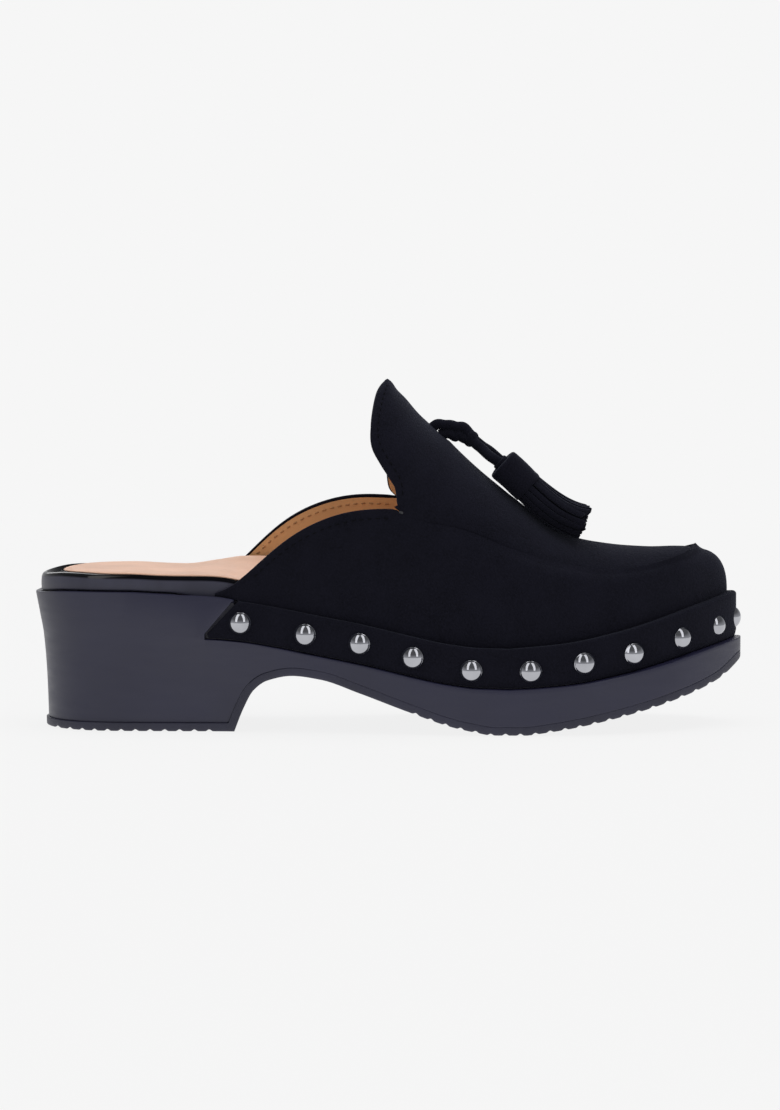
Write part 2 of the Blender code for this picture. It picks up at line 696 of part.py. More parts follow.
def outer_columns():
    """Base stations of the vamp's columns on one side: the wing, then the seam sections from notch to toe."""
    seam = sections_at(seam_sections())[0][::-1]
    start = WING_TIP + WING_CLEARANCE
    wing = np.concatenate([spread(start, start + WING_FADE, 6), spread(start + WING_FADE, seam[0], 5)[1:-1]])
    return wing, seam


WALL_SHARES = np.array([0.0, 0.1, 0.28, 0.5, 0.72, 0.9, 1.0])
BAND_ROWS = 5


def row_shift(x):
    """How far each row of the vamp's grid starts ahead of the wing's tip, fading out forwards."""
    step = seat(np.array([WING_TIP + WING_RUN]))[0] + GAP + WALL
    heights = [step - LEDGE_ROUND, step - LEDGE_ROUND * 0.3, step, step + 0.3 * LEDGE_ROUND]
    starts = [WING_TIP + 1.5 * WING_CLEARANCE, WING_TIP + WING_CLEARANCE]
    starts += [wing_start(z) + 0.9 * WING_CLEARANCE for z in heights]
    starts = np.array(starts + [TAIL_START] * (len(WALL_SHARES) - 1))
    fade = np.clip(1 - (x - WING_TIP - WING_CLEARANCE) / WING_FADE, 0, 1)
    return (starts - WING_TIP - WING_CLEARANCE)[None, :] * fade[:, None]


def wall_top(side, x, seam_count):
    """Top boundary of the vamp along one side: topline, then the seam's last seam_count columns."""
    rows = np.array(TOPLINE)
    half, rise = (1, 3) if side == "outer" else (2, 4)
    sign = -1 if side == "outer" else 1
    line = spline(rows[:, 0], rows[:, [half, rise]], x / SHOE_LENGTH)
    points = np.column_stack([x, sign * line[:, 0] * BALL_WIDTH, seat(x) + line[:, 1] * TONGUE_RISE])
    seam = sections_at(seam_sections())[1 if side == "outer" else 2][::-1]
    points[-seam_count:] = seam
    return points


def vamp_side(side):
    """Outer and inner grids of one side of the vamp, columns from the wing to the toe."""
    wing, seam = outer_columns()
    stations = np.concatenate([wing, seam])
    x = stations[:, None] + row_shift(stations)
    outer = np.empty((*x.shape, 3))
    inner = np.empty_like(outer)
    band, ledge = band_inset(x), vamp_inset(x)
    low = band_low(x) + 2.2 * GAP
    step = seat(x) + GAP + WALL
    outside = (
        (band, low),
        (band, low + WING_NOSE * 0.7),
        (band, step - LEDGE_ROUND),
        (band + LEDGE_ROUND * 0.3, step - LEDGE_ROUND * 0.3),
        (band + LEDGE_ROUND, step),
    )
    inside = (
        (band + WALL, low),
        (band + WALL, low + WING_NOSE * 0.7),
        (band + WALL, step - WALL * 1.3),
        (band + WALL * 1.08, step - WALL * 1.04),
        (band + WALL * 1.4, step - WALL),
    )
    for grid, levels in ((outer, outside), (inner, inside)):
        for j, (inset, z) in enumerate(levels):
            plan, inward = outline_at(side, x[:, j])
            grid[:, j] = np.column_stack([plan + inward * inset[:, j, None], z[:, j]])
    # Behind the notch the wall stands on the platform's open edge
    j = BAND_ROWS
    above = (heel_top(x) - seat(x)) * open_share(x, WING_RUN * 0.6)
    plan, inward = outline_at(side, x[:, j + 1])
    start = np.maximum(step, seat(x) + above + 1.5 * GAP)
    foot = np.column_stack([plan + inward * ledge[:, j + 1, None], start[:, j + 1]])
    top = wall_top(side, x[:, -1], len(seam))
    fullness = 0.25 + 0.75 * ease((stations / SHOE_LENGTH - 0.42) / 0.3)
    power = 2 / (2 + 0.5 * ease((stations / SHOE_LENGTH - 0.6) / 0.3))
    for k, share in enumerate(WALL_SHARES):
        angle = share * math.pi / 2
        over = (1 - (math.cos(angle) + 1e-12) ** power) * fullness + share * (1 - fullness)
        up = math.sin(angle) ** power * fullness + share * (1 - fullness)
        outer[:, j + k, :2] = foot[:, :2] + (top - foot)[:, :2] * over[:, None]
        outer[:, j + k, 2] = foot[:, 2] + (top - foot)[:, 2] * up
    plan, inward = outline_at(side, x[:, j])
    outer[:, j] = np.column_stack([plan + inward * ledge[:, j, None], start[:, j]])
    height = (seat(x) + above)[:, j] + 1.2 * GAP
    inner[:, j] = np.column_stack([plan + inward * (ledge[:, j, None] + WALL), height])
    return outer, inner


def make_upper():
    """The vamp with its stud band, and the apron that runs into the tongue, each a shell of its own."""
    left, left_in = vamp_side("outer")
    right, right_in = vamp_side("inner")
    outer = np.concatenate([left, right[-2::-1]])
    inner = np.concatenate([left_in, right_in[-2::-1]])
    j = BAND_ROWS
    normals = normals_of(outer[:, j:])
    away = outer[:, j:] - (outer[:, j:].mean(axis=0) + (0, 0, -0.02))
    normals *= np.sign((normals * away).sum(axis=-1, keepdims=True).mean(axis=(0, 1)))
    inner[:, j + 1 :] = outer[:, j + 1 :] - normals[:, 1:] * WALL

    seam = seam_sections()
    tongue = spread(NOTCH_ROW, len(SECTIONS) - 1, 9)[1:]
    sections = np.concatenate([seam, tongue])
    apron, apron_normals = apron_grid(sections, 13)
    apron_in = apron - apron_normals * WALL

    # Both pieces end on the same slanting face along the seam, a gap apart
    middle = len(left) - 1
    along = unit(np.gradient(outer[:, -1], axis=0))
    slant = normals[:, -1].copy()
    for i in range(len(seam)):
        slant[middle - i] += apron_normals[i, 0]
        slant[middle + i] += apron_normals[i, -1]
    for _ in range(3):
        slant = unit(slant)
        slant[1:-1] += (slant[:-2] + slant[2:]) / 2
    for i in range(len(seam)):
        for column, edge in ((middle - i, 0), (middle + i, -1)):
            through = unit(slant[column])
            into = unit(np.cross(through, along[column]))
            into *= np.sign(into @ (apron[i, 6] - apron[i, edge]) if i else -into[0])
            inner[column, -1] = outer[column, -1] - through * WALL
            apron[i, edge] = outer[column, -1] + into * GAP
            apron_in[i, edge] = inner[column, -1] + into * GAP
    apron[0] = apron[0, 0]
    apron_in[0] = apron_in[0, 0]

    # Near the toe the apron is kept behind that slanting face
    count = len(seam)
    for face in (apron, apron_in):
        front = np.concatenate([face[count - 1 :: -1, 0], face[1:count, -1]])
        inside = face[1:count, 1:-1]
        limit = np.interp(inside[..., 1], front[:, 1], front[:, 0])
        inside[..., 0] = np.minimum(inside[..., 0], limit - 0.5 * GAP * np.arange(1, count)[:, None])

    # The seam stands up as a ridge round the toe and dies out towards the notch
    station = np.concatenate(outer_columns())
    lift = SEAM_RIDGE * ease((station / SHOE_LENGTH - 0.52) / 0.2)
    lift = np.concatenate([lift, lift[-2::-1]])[:, None]
    away = unit(outer[:, -1] - inner[:, -1]) * lift
    outer[:, -1] += away
    outer[:, -2] += 0.35 * away
    return shell("vamp", outer, inner), shell("tongue", apron, apron_in)


def shell(name, outer, inner):
    """A closed solid between two grids of the same size. A first row that is all one point becomes a tip."""
    rows, columns = outer.shape[:2]
    points, number = [], {}
    for layer, grid in enumerate((outer, inner)):
        tip = np.allclose(grid[0], grid[0, 0])
        for r in range(rows):
            for c in range(columns):
                if r == 0 and tip and c > 0:
                    number[layer, r, c] = number[layer, 0, 0]
                    continue
                number[layer, r, c] = len(points)
                points.append(grid[r, c])
    faces = []
    for r in range(rows - 1):
        for c in range(columns - 1):
            for layer in (0, 1):
                faces.append([number[layer, *at] for at in ((r, c), (r, c + 1), (r + 1, c + 1), (r + 1, c))])
    rim = [(0, c) for c in range(columns)] + [(r, columns - 1) for r in range(1, rows)]
    rim += [(rows - 1, c) for c in range(columns - 2, -1, -1)] + [(r, 0) for r in range(rows - 2, 0, -1)]
    for a, b in zip(rim, rim[1:] + rim[:1]):
        faces.append([number[0, *a], number[0, *b], number[1, *b], number[1, *a]])
    tidy = []
    for face in faces:
        whole = [v for i, v in enumerate(face) if v != face[i - 1]]
        if len(set(whole)) > 2:
            tidy.append(whole)
    return add_solid(name, points, tidy, SUEDE)


def turned(name, profile, segments, look, squash=lambda along: (1, 1)):
    """A closed turned solid along +Z from (radius, height) rows. squash gives each height's X and Y share."""
    points, faces, levels = [], [], []
    for radius, height in profile:
        if radius <= 0:
            levels.append([len(points)])
            points.append((0, 0, height))
            continue
        wide = squash(height)
        levels.append(list(range(len(points), len(points) + segments)))
        for s in range(segments):
            angle = 2 * math.pi * s / segments
            points.append((radius * math.cos(angle) * wide[0], radius * math.sin(angle) * wide[1], height))
    for a, b in zip(levels, levels[1:]):
        a_round, b_round = (a + a[:1] if len(a) > 1 else a), (b + b[:1] if len(b) > 1 else b)
        faces += strip(a_round, b_round)
    for end in (levels[0], levels[-1]):
        if len(end) > 1:
            faces.append(end)
    return add_solid(name, points, faces, look)


def aim(thing, place, direction, across=(0, 0, 1)):
    """Puts a thing at place with its +Z along direction and its +X as near across as it can."""
    z = Vector(direction).normalized()
    x = Vector(across)
    x = (x - z * x.dot(z)).normalized()
    turn = Matrix((x, z.cross(x), z)).transposed()
    thing.matrix_local = Matrix.Translation(Vector(place)) @ turn.to_4x4()


def band_points(side, share, rise):
    """Point on the band's face and outward direction at a share of the way from breast to toe tip."""
    x = np.linspace(HEEL_BLOCK_LENGTH, SHOE_LENGTH, 400)
    plan, inward = outline_at(side, x)
    face = plan + inward * band_inset(x)[:, None]
    length = np.concatenate([[0], np.cumsum(np.linalg.norm(np.diff(face, axis=0), axis=1))])
    place = np.interp(share * length[-1], length, np.arange(len(x)))
    values = np.column_stack([x, face, inward])
    station, px, py, nx, ny = (np.interp(place, np.arange(len(x)), c) for c in values.T)
    z = band_low(np.array([station]))[0] + STUD_RISE * rise
    return Vector((px, py, z)), Vector((-nx, -ny, 0)).normalized()


def make_studs():
    """Domed nail heads along the band: ten on each side and one at the toe tip."""
    radius = STUD_DIAMETER / 2
    ball = (radius**2 + STUD_DOME**2) / (2 * STUD_DOME)
    widest = math.asin(radius / ball)
    angles = np.linspace(widest, 0, 4)[:-1]
    rows = [(ball * math.sin(a), ball * math.cos(a) - ball + STUD_DOME) for a in angles]
    first = None
    places = [("outer", *row) for row in STUDS] + [("inner", 1.0, 1)]
    places += [("inner", *row) for row in STUDS[::-1]]
    for n, (side, share, rise) in enumerate(places):
        name = f"stud_{n + 1:02d}"
        if first is None:
            stud = first = turned(name, rows + [(0, STUD_DOME)], 10, NICKEL)
        else:
            stud = add_object(name, first.data, NICKEL)
        place, away = band_points(side, share, rise)
        if share == 1.0:
            away = Vector((1, 0, 0))
        aim(stud, place + away * GAP, away)


def thong_tube(name, route):
    """A round thong through hand-chosen route points, read from a smooth curve."""
    route = np.array(route, float)
    knots = np.concatenate([[0], np.cumsum(np.linalg.norm(np.diff(route, axis=0), axis=1))])
    count = max(4, round(knots[-1] / (0.55 * THONG_DIAMETER)))
    dense = spline(knots, route, np.linspace(0, knots[-1], count))
    curve = bpy.data.curves.new(name, "CURVE")
    curve.dimensions = "3D"
    curve.bevel_depth = THONG_DIAMETER / 2
    curve.bevel_resolution = 2
    curve.use_fill_caps = True
    line = curve.splines.new("POLY")
    line.points.add(len(dense) - 1)
    for point, place in zip(line.points, dense):
        point.co = (*place, 1)
    return add_object(name, curve, SUEDE)


def above_crown(station, height, side=0.0):
    x = station * SHOE_LENGTH
    return np.array([x, side, crown_height(np.array([x]))[0] + height])


def tassel_frame(side):
    """Top and direction of one tassel's axis: side is -1 outside and 1 inside."""
    lean = 1 - 0.035 * side
    top = above_crown(TASSEL_TOP_STATION, TASSEL_TOP_HEIGHT * lean, side * TASSEL_SPACING * 0.46)
    end = above_crown(TASSEL_END_STATION, TASSEL_END_HEIGHT / lean, side * TASSEL_SPACING * 0.56)
    return top, unit(end - top)


def make_tassels():
    """Two tassels: a rolled cap and a skirt of strips fused into one solid."""
    cap_top, cap_end = TASSEL_TOP_WIDTH / 2, TASSEL_CAP_WIDTH / 2
    cap_rows = [
        (cap_top * 0.8, 0), (cap_top * 0.95, TASSEL_CAP_LENGTH * 0.05), (cap_top, TASSEL_CAP_LENGTH * 0.12),
        (cap_end, TASSEL_CAP_LENGTH * 0.9), (cap_end * 0.97, TASSEL_CAP_LENGTH),
    ]
    for side, word in ((-1, "outer"), (1, "inner")):
        top, along = tassel_frame(side)
        cap = turned(f"tassel_cap_{word}", cap_rows, 14, SUEDE)
        aim(cap, top, along)
        fringe = make_fringe(f"tassel_fringe_{word}")
        aim(fringe, top + along * (TASSEL_CAP_LENGTH + GAP), along)


def make_fringe(name):
    """A skirt of strips that spreads sideways and flattens where it lies on the apron."""
    length = TASSEL_LENGTH - TASSEL_CAP_LENGTH - GAP
    around = 2 * FRINGE_STRIPS
    points, faces = [], []
    start = TASSEL_CAP_WIDTH / 2 * 0.93
    shares = (0, 0.3, 0.55, 0.78, 1)
    for share in shares:
        thick = start + (TASSEL_END_THICKNESS / 2 - start) * ease(share)
        wide = start + (TASSEL_END_WIDTH / 2 - start) * share
        up = TASSEL_BEND * share**3
        for s in range(around):
            angle = 2 * math.pi * s / around
            groove = 1 - 0.13 * (s % 2)
            short = FRINGE_STEP * ((s // 2) % 2) * (share == 1)
            height = length * share - short
            points.append((up + thick * groove * math.cos(angle), wide * groove * math.sin(angle), height))
    for k in range(len(shares) - 1):
        a = list(range(k * around, (k + 1) * around))
        b = [v + around for v in a]
        faces += strip(a + a[:1], b + b[:1])
    ends = ((0, 0, 0), (length - 1.6 * FRINGE_STEP, TASSEL_BEND, (len(shares) - 1) * around))
    for height, up, base in ends:
        points.append((up, 0, height))
        edge = list(range(base, base + around))
        faces += strip([len(points) - 1], edge + edge[:1])
    return add_solid(name, points, faces, SUEDE)


def make_thong():
    """The thong: over the tongue in a loop, through a knot, and down to each tassel."""
    loop = [above_crown(s, h * THONG_DIAMETER) for s, h in LOOP_ROUTE]
    low = [above_crown(s, h * THONG_DIAMETER) for s, h in LOW_ROUTE]
    knot_place = above_crown(KNOT_STATION, KNOT_HEIGHT * THONG_DIAMETER)
    tail_aim = unit(tassel_frame(0)[0] - knot_place)
    half = KNOT_WIDTH / 2
    rows = [(half * 0.55, -half * 0.72), (half * 0.98, -half * 0.3), (half * 0.86, 0), (half, half * 0.3)]
    rows.append((half * 0.6, half * 0.72))
    knot = turned("thong_knot", rows, 12, SUEDE)
    aim(knot, knot_place, tail_aim)
    back = knot_place - tail_aim * (half * 0.72 + 2 * GAP)
    up = np.array([-tail_aim[2], 0, tail_aim[0]]) * (THONG_DIAMETER + GAP) / 2
    straight = tail_aim * THONG_DIAMETER * 0.3
    thong_tube("thong_loop", loop + [back + up - straight, back + up])
    thong_tube("thong_root", low + [back - up - straight, back - up])
    for side, word in ((-1, "outer"), (1, "inner")):
        top, along = tassel_frame(side)
        start = knot_place + tail_aim * (half * 0.72 + GAP) + (0, side * THONG_DIAMETER * 0.56, 0)
        end = top - along * 1.5 * GAP
        middle = (start + end) / 2 + (0, side * THONG_DIAMETER * 0.15, THONG_DIAMETER * 0.1)
        lead, stop = tail_aim * THONG_DIAMETER * 0.5, along * THONG_DIAMETER * 0.3
        thong_tube(f"thong_tail_{word}", [start, start + lead, middle, end - stop, end])


def clear_scene():
    for thing in list(bpy.data.objects):
        bpy.data.objects.remove(thing)


def stand_on_origin(shoe, loose_words):
    """Moves the shoe so that the origin is under the middle of its box, the thong and tassels apart."""
    bpy.context.view_layer.update()
    corners = [
        thing.matrix_world @ Vector(corner)
        for thing in shoe.children
        if not thing.name.startswith(loose_words)
        for corner in thing.bound_box
    ]
    low = Vector(map(min, zip(*corners)))
    high = Vector(map(max, zip(*corners)))
    shoe.location = (-(low.x + high.x) / 2, -(low.y + high.y) / 2, -low.z)


def main():
    clear_scene()
    shoe = bpy.data.objects.new("shoe", None)
    bpy.context.scene.collection.objects.link(shoe)
    make_outsole()
    make_platform()
    make_footbed()
    make_insole()
    make_upper()
    make_studs()
    make_tassels()
    make_thong()
    stand_on_origin(shoe, ("thong", "tassel"))


main()
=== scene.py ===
"""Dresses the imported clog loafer: suede upper with tan lining, black moulded platform, glossy footbed edge,
nail heads, knotted thong and tassels. Metres, +X to the toe, -Y to the outer side, floor at z = 0."""

import math

import bmesh
import bpy
import numpy as np
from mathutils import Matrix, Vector


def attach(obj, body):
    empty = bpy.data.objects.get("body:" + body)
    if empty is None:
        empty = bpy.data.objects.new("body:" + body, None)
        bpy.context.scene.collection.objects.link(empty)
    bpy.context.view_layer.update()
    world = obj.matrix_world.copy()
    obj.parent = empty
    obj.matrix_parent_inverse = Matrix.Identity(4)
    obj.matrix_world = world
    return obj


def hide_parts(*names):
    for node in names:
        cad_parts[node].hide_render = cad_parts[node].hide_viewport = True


bl_info = {
    "name": "Tassel Clog Dressing",
    "version": (1, 0, 0),
    "blender": (4, 5, 0),
    "location": "View3D > Sidebar > Clog",
    "description": "Builds the visible pieces and finishes of a studded tassel clog round its packed solids",
    "category": "Object",
}

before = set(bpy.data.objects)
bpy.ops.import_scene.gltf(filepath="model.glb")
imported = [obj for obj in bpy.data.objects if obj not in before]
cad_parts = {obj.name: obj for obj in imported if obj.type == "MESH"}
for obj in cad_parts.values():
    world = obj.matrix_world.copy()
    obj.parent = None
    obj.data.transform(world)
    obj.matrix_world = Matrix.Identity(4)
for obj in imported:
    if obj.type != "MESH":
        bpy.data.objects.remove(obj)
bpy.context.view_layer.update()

MM = 0.001
SHIFT = np.array([-127.6 * MM, 0.05027 * MM, 0])  # from the heel's back to the part's origin

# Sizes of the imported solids
SHOE_LENGTH = 255 * MM
BALL_WIDTH = 89 * MM
HEEL_HEIGHT = 50 * MM
BALL_HEIGHT = 28.3 * MM
TOE_HEIGHT = 45.2 * MM
TOE_SPRING = 23 * MM
ARCH_RISE = 20.2 * MM
HEEL_BLOCK_LENGTH = 72.2 * MM
BALL_REST_START = 163 * MM
BALL_REST_END = 177 * MM
HEEL_FLARE = 5 * MM
FLARE_DEPTH = 18 * MM
FLARE_RUN_OUT = 34 * MM
TOE_DISH = 3.2 * MM
OUTSOLE_THICKNESS = 3 * MM
OUTSOLE_LIP = 0.9 * MM
RIB_PITCH = 5.3 * MM
RIB_GROOVE_WIDTH = 1.9 * MM
RIB_GROOVE_DEPTH = 0.8 * MM
FORE_RIBS_START = 137 * MM
RIB_END_MARGIN = 5 * MM
BED_THICKNESS = 5.2 * MM
BED_HEEL_INSET = 2.2 * MM
ARCH_SUPPORT = 7 * MM
INSOLE_THICKNESS = 0.9 * MM
INSOLE_INSET = 2.4 * MM
WALL = 2 * MM
TONGUE_RISE = 91 * MM
BAND_DROP = 12.1 * MM
BAND_TOE_EXTRA = 2 * MM
BAND_INSET_WING = 0.4 * MM
BAND_INSET_TOE = 2.6 * MM
LEDGE_WING = 1.8 * MM
LEDGE_TOE = 3.4 * MM
LEDGE_ROUND = 1.2 * MM
WING_TIP = 61.8 * MM
WING_RUN = 10.6 * MM
WING_NOSE = 1.8 * MM
WING_CLEARANCE = 0.9 * MM
WING_FADE = 24 * MM
TAIL_START = 65.5 * MM
SEAM_RIDGE = 1.4 * MM
GAP = 0.3 * MM
STUD_DIAMETER = 7.2 * MM
STUD_DOME = 2.5 * MM
STUD_RISE = 6.8 * MM
THONG_DIAMETER = 3.4 * MM
KNOT_WIDTH = 7 * MM
TASSEL_LENGTH = 37.2 * MM
TASSEL_CAP_LENGTH = 13 * MM
TASSEL_TOP_WIDTH = 11.2 * MM
TASSEL_CAP_WIDTH = 12 * MM
TASSEL_END_WIDTH = 14.2 * MM
TASSEL_END_THICKNESS = 11.8 * MM
TASSEL_BEND = 4.4 * MM
TASSEL_SPACING = 15.6 * MM
FRINGE_STEP = 1 * MM

# Sizes of what the solids leave out
TOE_FORWARD = 1 * MM  # the upper's nose stands this much further forward
SOCK_SHORT = 6.5 * MM  # the sock stops this far short of the footbed's heel edge
SOCK_SHORT_REACH = 50 * MM  # which runs out over this length
SOCK_WIDER = 0.9 * MM  # elsewhere it reaches the wrap's rounded edge
SOCK_EDGE = 0.5 * MM  # the sock is this thin along its edge
WRAP_ROUND = 1.8 * MM  # radius of the wrap's upper edge
WRAP_LIFT = 0.55 * MM  # the wrap stands up this much beside the sock
HEEL_TURN = 0.8 * MM  # and this much more round the heel
HEEL_TURN_REACH = 26 * MM  # which runs out over this length
SEAM_SLIT = 0.02 * MM  # between vamp and apron along the seam
TOE_RIDGE_MORE = 0.35  # the seam's ridge is this share higher at the toe
TOE_RIDGE_FORWARD = 1.2 * MM  # and leans forward this much there
STUD_SPREAD = 1.12  # width of a nail head, share of the solid's
TOE_STUD_SHIFT = 1.5 * MM  # the toe tip's nail head stands this much nearer to the outer side
TOE_STUD_AIM = (1.0, -0.22, 0)
TACK_FORWARD = 1.5 * MM  # the bar tacks stand this much forward of the notch
THONG_WIDTH = 4 * MM
LOOP_SLACK = 0.35 * MM  # the two strands behind the knot lie this much closer
TAIL_SPLIT = 1.2 * MM  # the outer tassel's strand hangs this much lower

# Plan outline: station, share of the length; outer and inner half widths, shares of the ball width
PLAN = (
    (0.0216, 0.202, 0.202),
    (0.0706, 0.324, 0.324),
    (0.149, 0.362, 0.362),
    (0.255, 0.366, 0.356),
    (0.3725, 0.384, 0.350),
    (0.490, 0.434, 0.388),
    (0.608, 0.487, 0.470),
    (0.698, 0.500, 0.500),
    (0.784, 0.463, 0.483),
    (0.863, 0.374, 0.428),
    (0.933, 0.220, 0.350),
    (0.978, 0.056, 0.250),
)
TOE_TIP_SIDE = 0.101

# Underside: share of the way from breast to ball and from ball to toe tip, share of the rise
ARCH_LINE = (
    (0, 0), (0.035, 0.40), (0.075, 0.73), (0.13, 0.91), (0.23, 1),
    (0.34, 0.94), (0.49, 0.713), (0.68, 0.40), (0.86, 0.13), (1, 0),
)
TOE_LINE = ((0, 0), (0.2, 0.10), (0.45, 0.275), (0.7, 0.50), (0.9, 0.755), (1, 1))

# Platform's open edge and the seat under the upper: station, share of the height
HEEL_TOP = ((0, 0.968), (0.038, 0.995), (0.07, 1), (0.135, 1), (0.18, 0.988), (0.262, 0.966), (0.3, 0.93))
SEAT_REAR = (
    (0.1, 0.80), (0.24, 0.78), (0.29, 0.74), (0.34, 0.648), (0.40, 0.51),
    (0.46, 0.375), (0.52, 0.215), (0.58, 0.068), (0.625, 0.01), (0.667, 0),
)
SEAT_FRONT = ((0.667, 0), (0.749, 0.107), (0.82, 0.30), (0.88, 0.515), (0.94, 0.77), (1, 1))

# Footbed: station, thickness share, share of the arch support at the inner edge
BED_LINE = (
    (0, 1, 0), (0.14, 1, 0), (0.21, 1.03, 0.03), (0.26, 1.12, 0.31), (0.30, 1.2, 0.75),
    (0.37, 1.15, 1), (0.52, 0.9, 0.55), (0.66, 0.72, 0.1), (0.85, 0.65, 0), (1, 0.65, 0),
)

# Apron and tongue from the toe back to the tongue's tip:
# base, edge, outer half, inner half, outer rise, inner rise, crown, crown rise, roundness
SECTIONS = (
    (1.000, 0.9275, -0.079, 0.079, 0.196, 0.196, 0.9275, 0.196, 0),
    (0.990, 0.9262, -0.020, 0.133, 0.198, 0.198, 0.9265, 0.206, 0),
    (0.969, 0.9190, 0.051, 0.185, 0.202, 0.202, 0.9195, 0.226, 0),
    (0.937, 0.9020, 0.135, 0.228, 0.209, 0.209, 0.9020, 0.252, 0),
    (0.886, 0.8640, 0.225, 0.272, 0.222, 0.224, 0.8650, 0.292, 0),
    (0.824, 0.8100, 0.283, 0.307, 0.251, 0.255, 0.8140, 0.345, 0.05),
    (0.765, 0.7570, 0.313, 0.325, 0.301, 0.305, 0.7700, 0.398, 0.15),
    (0.706, 0.7040, 0.333, 0.335, 0.357, 0.362, 0.7310, 0.462, 0.35),
    (0.647, 0.6470, 0.348, 0.345, 0.427, 0.433, 0.6920, 0.552, 0.6),
    (0.588, 0.5880, 0.360, 0.353, 0.481, 0.489, 0.6490, 0.636, 0.85),
    (0.511, 0.5110, 0.371, 0.360, 0.505, 0.516, 0.5860, 0.754, 1),
    (0.511, 0.4960, 0.360, 0.350, 0.632, 0.640, 0.5630, 0.809, 1),
    (0.511, 0.4775, 0.315, 0.307, 0.742, 0.748, 0.5420, 0.864, 1),
    (0.511, 0.4757, 0.247, 0.242, 0.848, 0.852, 0.5250, 0.920, 1),
    (0.511, 0.4815, 0.163, 0.161, 0.932, 0.934, 0.5118, 0.958, 1),
    (0.511, 0.4880, 0.098, 0.097, 0.972, 0.973, 0.5052, 0.985, 1),
    (0.511, 0.4955, 0.030, 0.030, 0.998, 0.998, 0.4984, 1.002, 1),
)
NOTCH_ROW = 10
# The tongue's outer edge stands further forward just above the notch than in the solids: section, millimetres
NOTCH_SLIDE = (
    (0, 0), (9.85, 0), (10, 0.6), (10.1, 1.7), (10.3, 2.6), (10.5, 3.1), (10.7, 3.0), (11, 1.2), (11.4, 0.1),
    (12, 0), (16, 0),
)

# Topline from the wing to the notch: station, outer half, inner half, outer rise, inner rise
TOPLINE = (
    (0.2568, 0.338, 0.331, 0.049, 0.054),
    (0.272, 0.338, 0.330, 0.067, 0.090),
    (0.298, 0.338, 0.328, 0.125, 0.166),
    (0.335, 0.341, 0.329, 0.234, 0.281),
    (0.376, 0.347, 0.334, 0.340, 0.380),
    (0.432, 0.357, 0.343, 0.437, 0.463),
    (0.511, 0.371, 0.360, 0.507, 0.515),
)

# Studs along one side: share of the way from the breast to the toe tip, share of the stud rise
STUDS = (
    (0.011, 1), (0.125, 1), (0.221, 1.1), (0.315, 1.04), (0.4185, 0.92),
    (0.5225, 0.9), (0.618, 1.04), (0.712, 0.96), (0.818, 0.97), (0.920, 0.94),
)

# Thong: station and height above the crown line, share of the thong's diameter
LOOP_ROUTE = ((0.5635, 0.15), (0.5680, 0.70), (0.5780, 1.28), (0.5880, 1.86), (0.5960, 2.30))
LOW_ROUTE = ((0.5750, 0.12), (0.5810, 0.55), (0.5880, 0.90), (0.5955, 1.25))
KNOT_STATION = 0.6140
KNOT_HEIGHT = 2.45
TASSEL_TOP_STATION = 0.6598
TASSEL_TOP_HEIGHT = 8.9 * MM
TASSEL_END_STATION = 0.7700
TASSEL_END_HEIGHT = 1.5 * MM

# Soft creases across the vamp's sides: station, share of the way up, width along the shoe, depth share
CREASES = (
    (0.555, 0.62, 0.013, 1.0),
    (0.600, 0.50, 0.015, -0.7),
    (0.648, 0.56, 0.014, 0.8),
    (0.705, 0.44, 0.017, -0.5),
    (0.760, 0.58, 0.015, 0.5),
)


# ---------------------------------------------------------------- curves and outline

def glide(rows, at):
    """Monotone cubic through (x, y) rows."""
    x, y = np.array(rows, float).T
    step = np.diff(x)
    slope = np.diff(y) / step
    turn = np.zeros(len(x))
    turn[0], turn[-1] = slope[0], slope[-1]
    same = slope[:-1] * slope[1:] > 0
    before = 2 * step[1:] + step[:-1]
    after = step[1:] + 2 * step[:-1]
    with np.errstate(divide="ignore", invalid="ignore"):
        mean = (before + after) / (before / slope[:-1] + after / slope[1:])
    turn[1:-1] = np.where(same, mean, 0)
    at = np.clip(at, x[0], x[-1])
    i = np.clip(np.searchsorted(x, at, side="right") - 1, 0, len(step) - 1)
    t = (at - x[i]) / step[i]
    low = (1 + 2 * t) * (1 - t) ** 2 * y[i] + t * (1 - t) ** 2 * step[i] * turn[i]
    high = t**2 * (3 - 2 * t) * y[i + 1] + t**2 * (t - 1) * step[i] * turn[i + 1]
    return low + high


def spline(knots, values, at, closed=False):
    """Smooth cubic through values (rows of coordinates) at knots."""
    knots, values = np.asarray(knots, float), np.asarray(values, float)
    n = len(knots) - 1
    step = np.diff(knots)
    rise = np.diff(values, axis=0) / step[:, None]
    bend = np.eye(n + 1)
    right = np.zeros_like(values)
    for i in range(1, n):
        bend[i, i - 1 : i + 2] = step[i - 1], 2 * (step[i - 1] + step[i]), step[i]
        right[i] = 6 * (rise[i] - rise[i - 1])
    if closed:
        bend[0, [0, 1, n - 1]] = 2 * (step[-1] + step[0]), step[0], step[-1]
        right[0] = 6 * (rise[0] - rise[-1])
        bend[n, 0] = -1
    second = np.linalg.solve(bend, right)
    at = np.clip(at, knots[0], knots[-1])
    i = np.clip(np.searchsorted(knots, at, side="right") - 1, 0, n - 1)
    h = step[i][:, None]
    a = (knots[i + 1] - at)[:, None] / h
    b = 1 - a
    bulge = ((a**3 - a) * second[i] + (b**3 - b) * second[i + 1]) * h**2 / 6
    return a * values[i] + b * values[i + 1] + bulge


def ease(x):
    """0 to 1 with soft ends."""
    x = np.clip(x, 0, 1)
    return x * x * (3 - 2 * x)


def unit(v):
    return v / np.maximum(np.linalg.norm(v, axis=-1, keepdims=True), 1e-12)


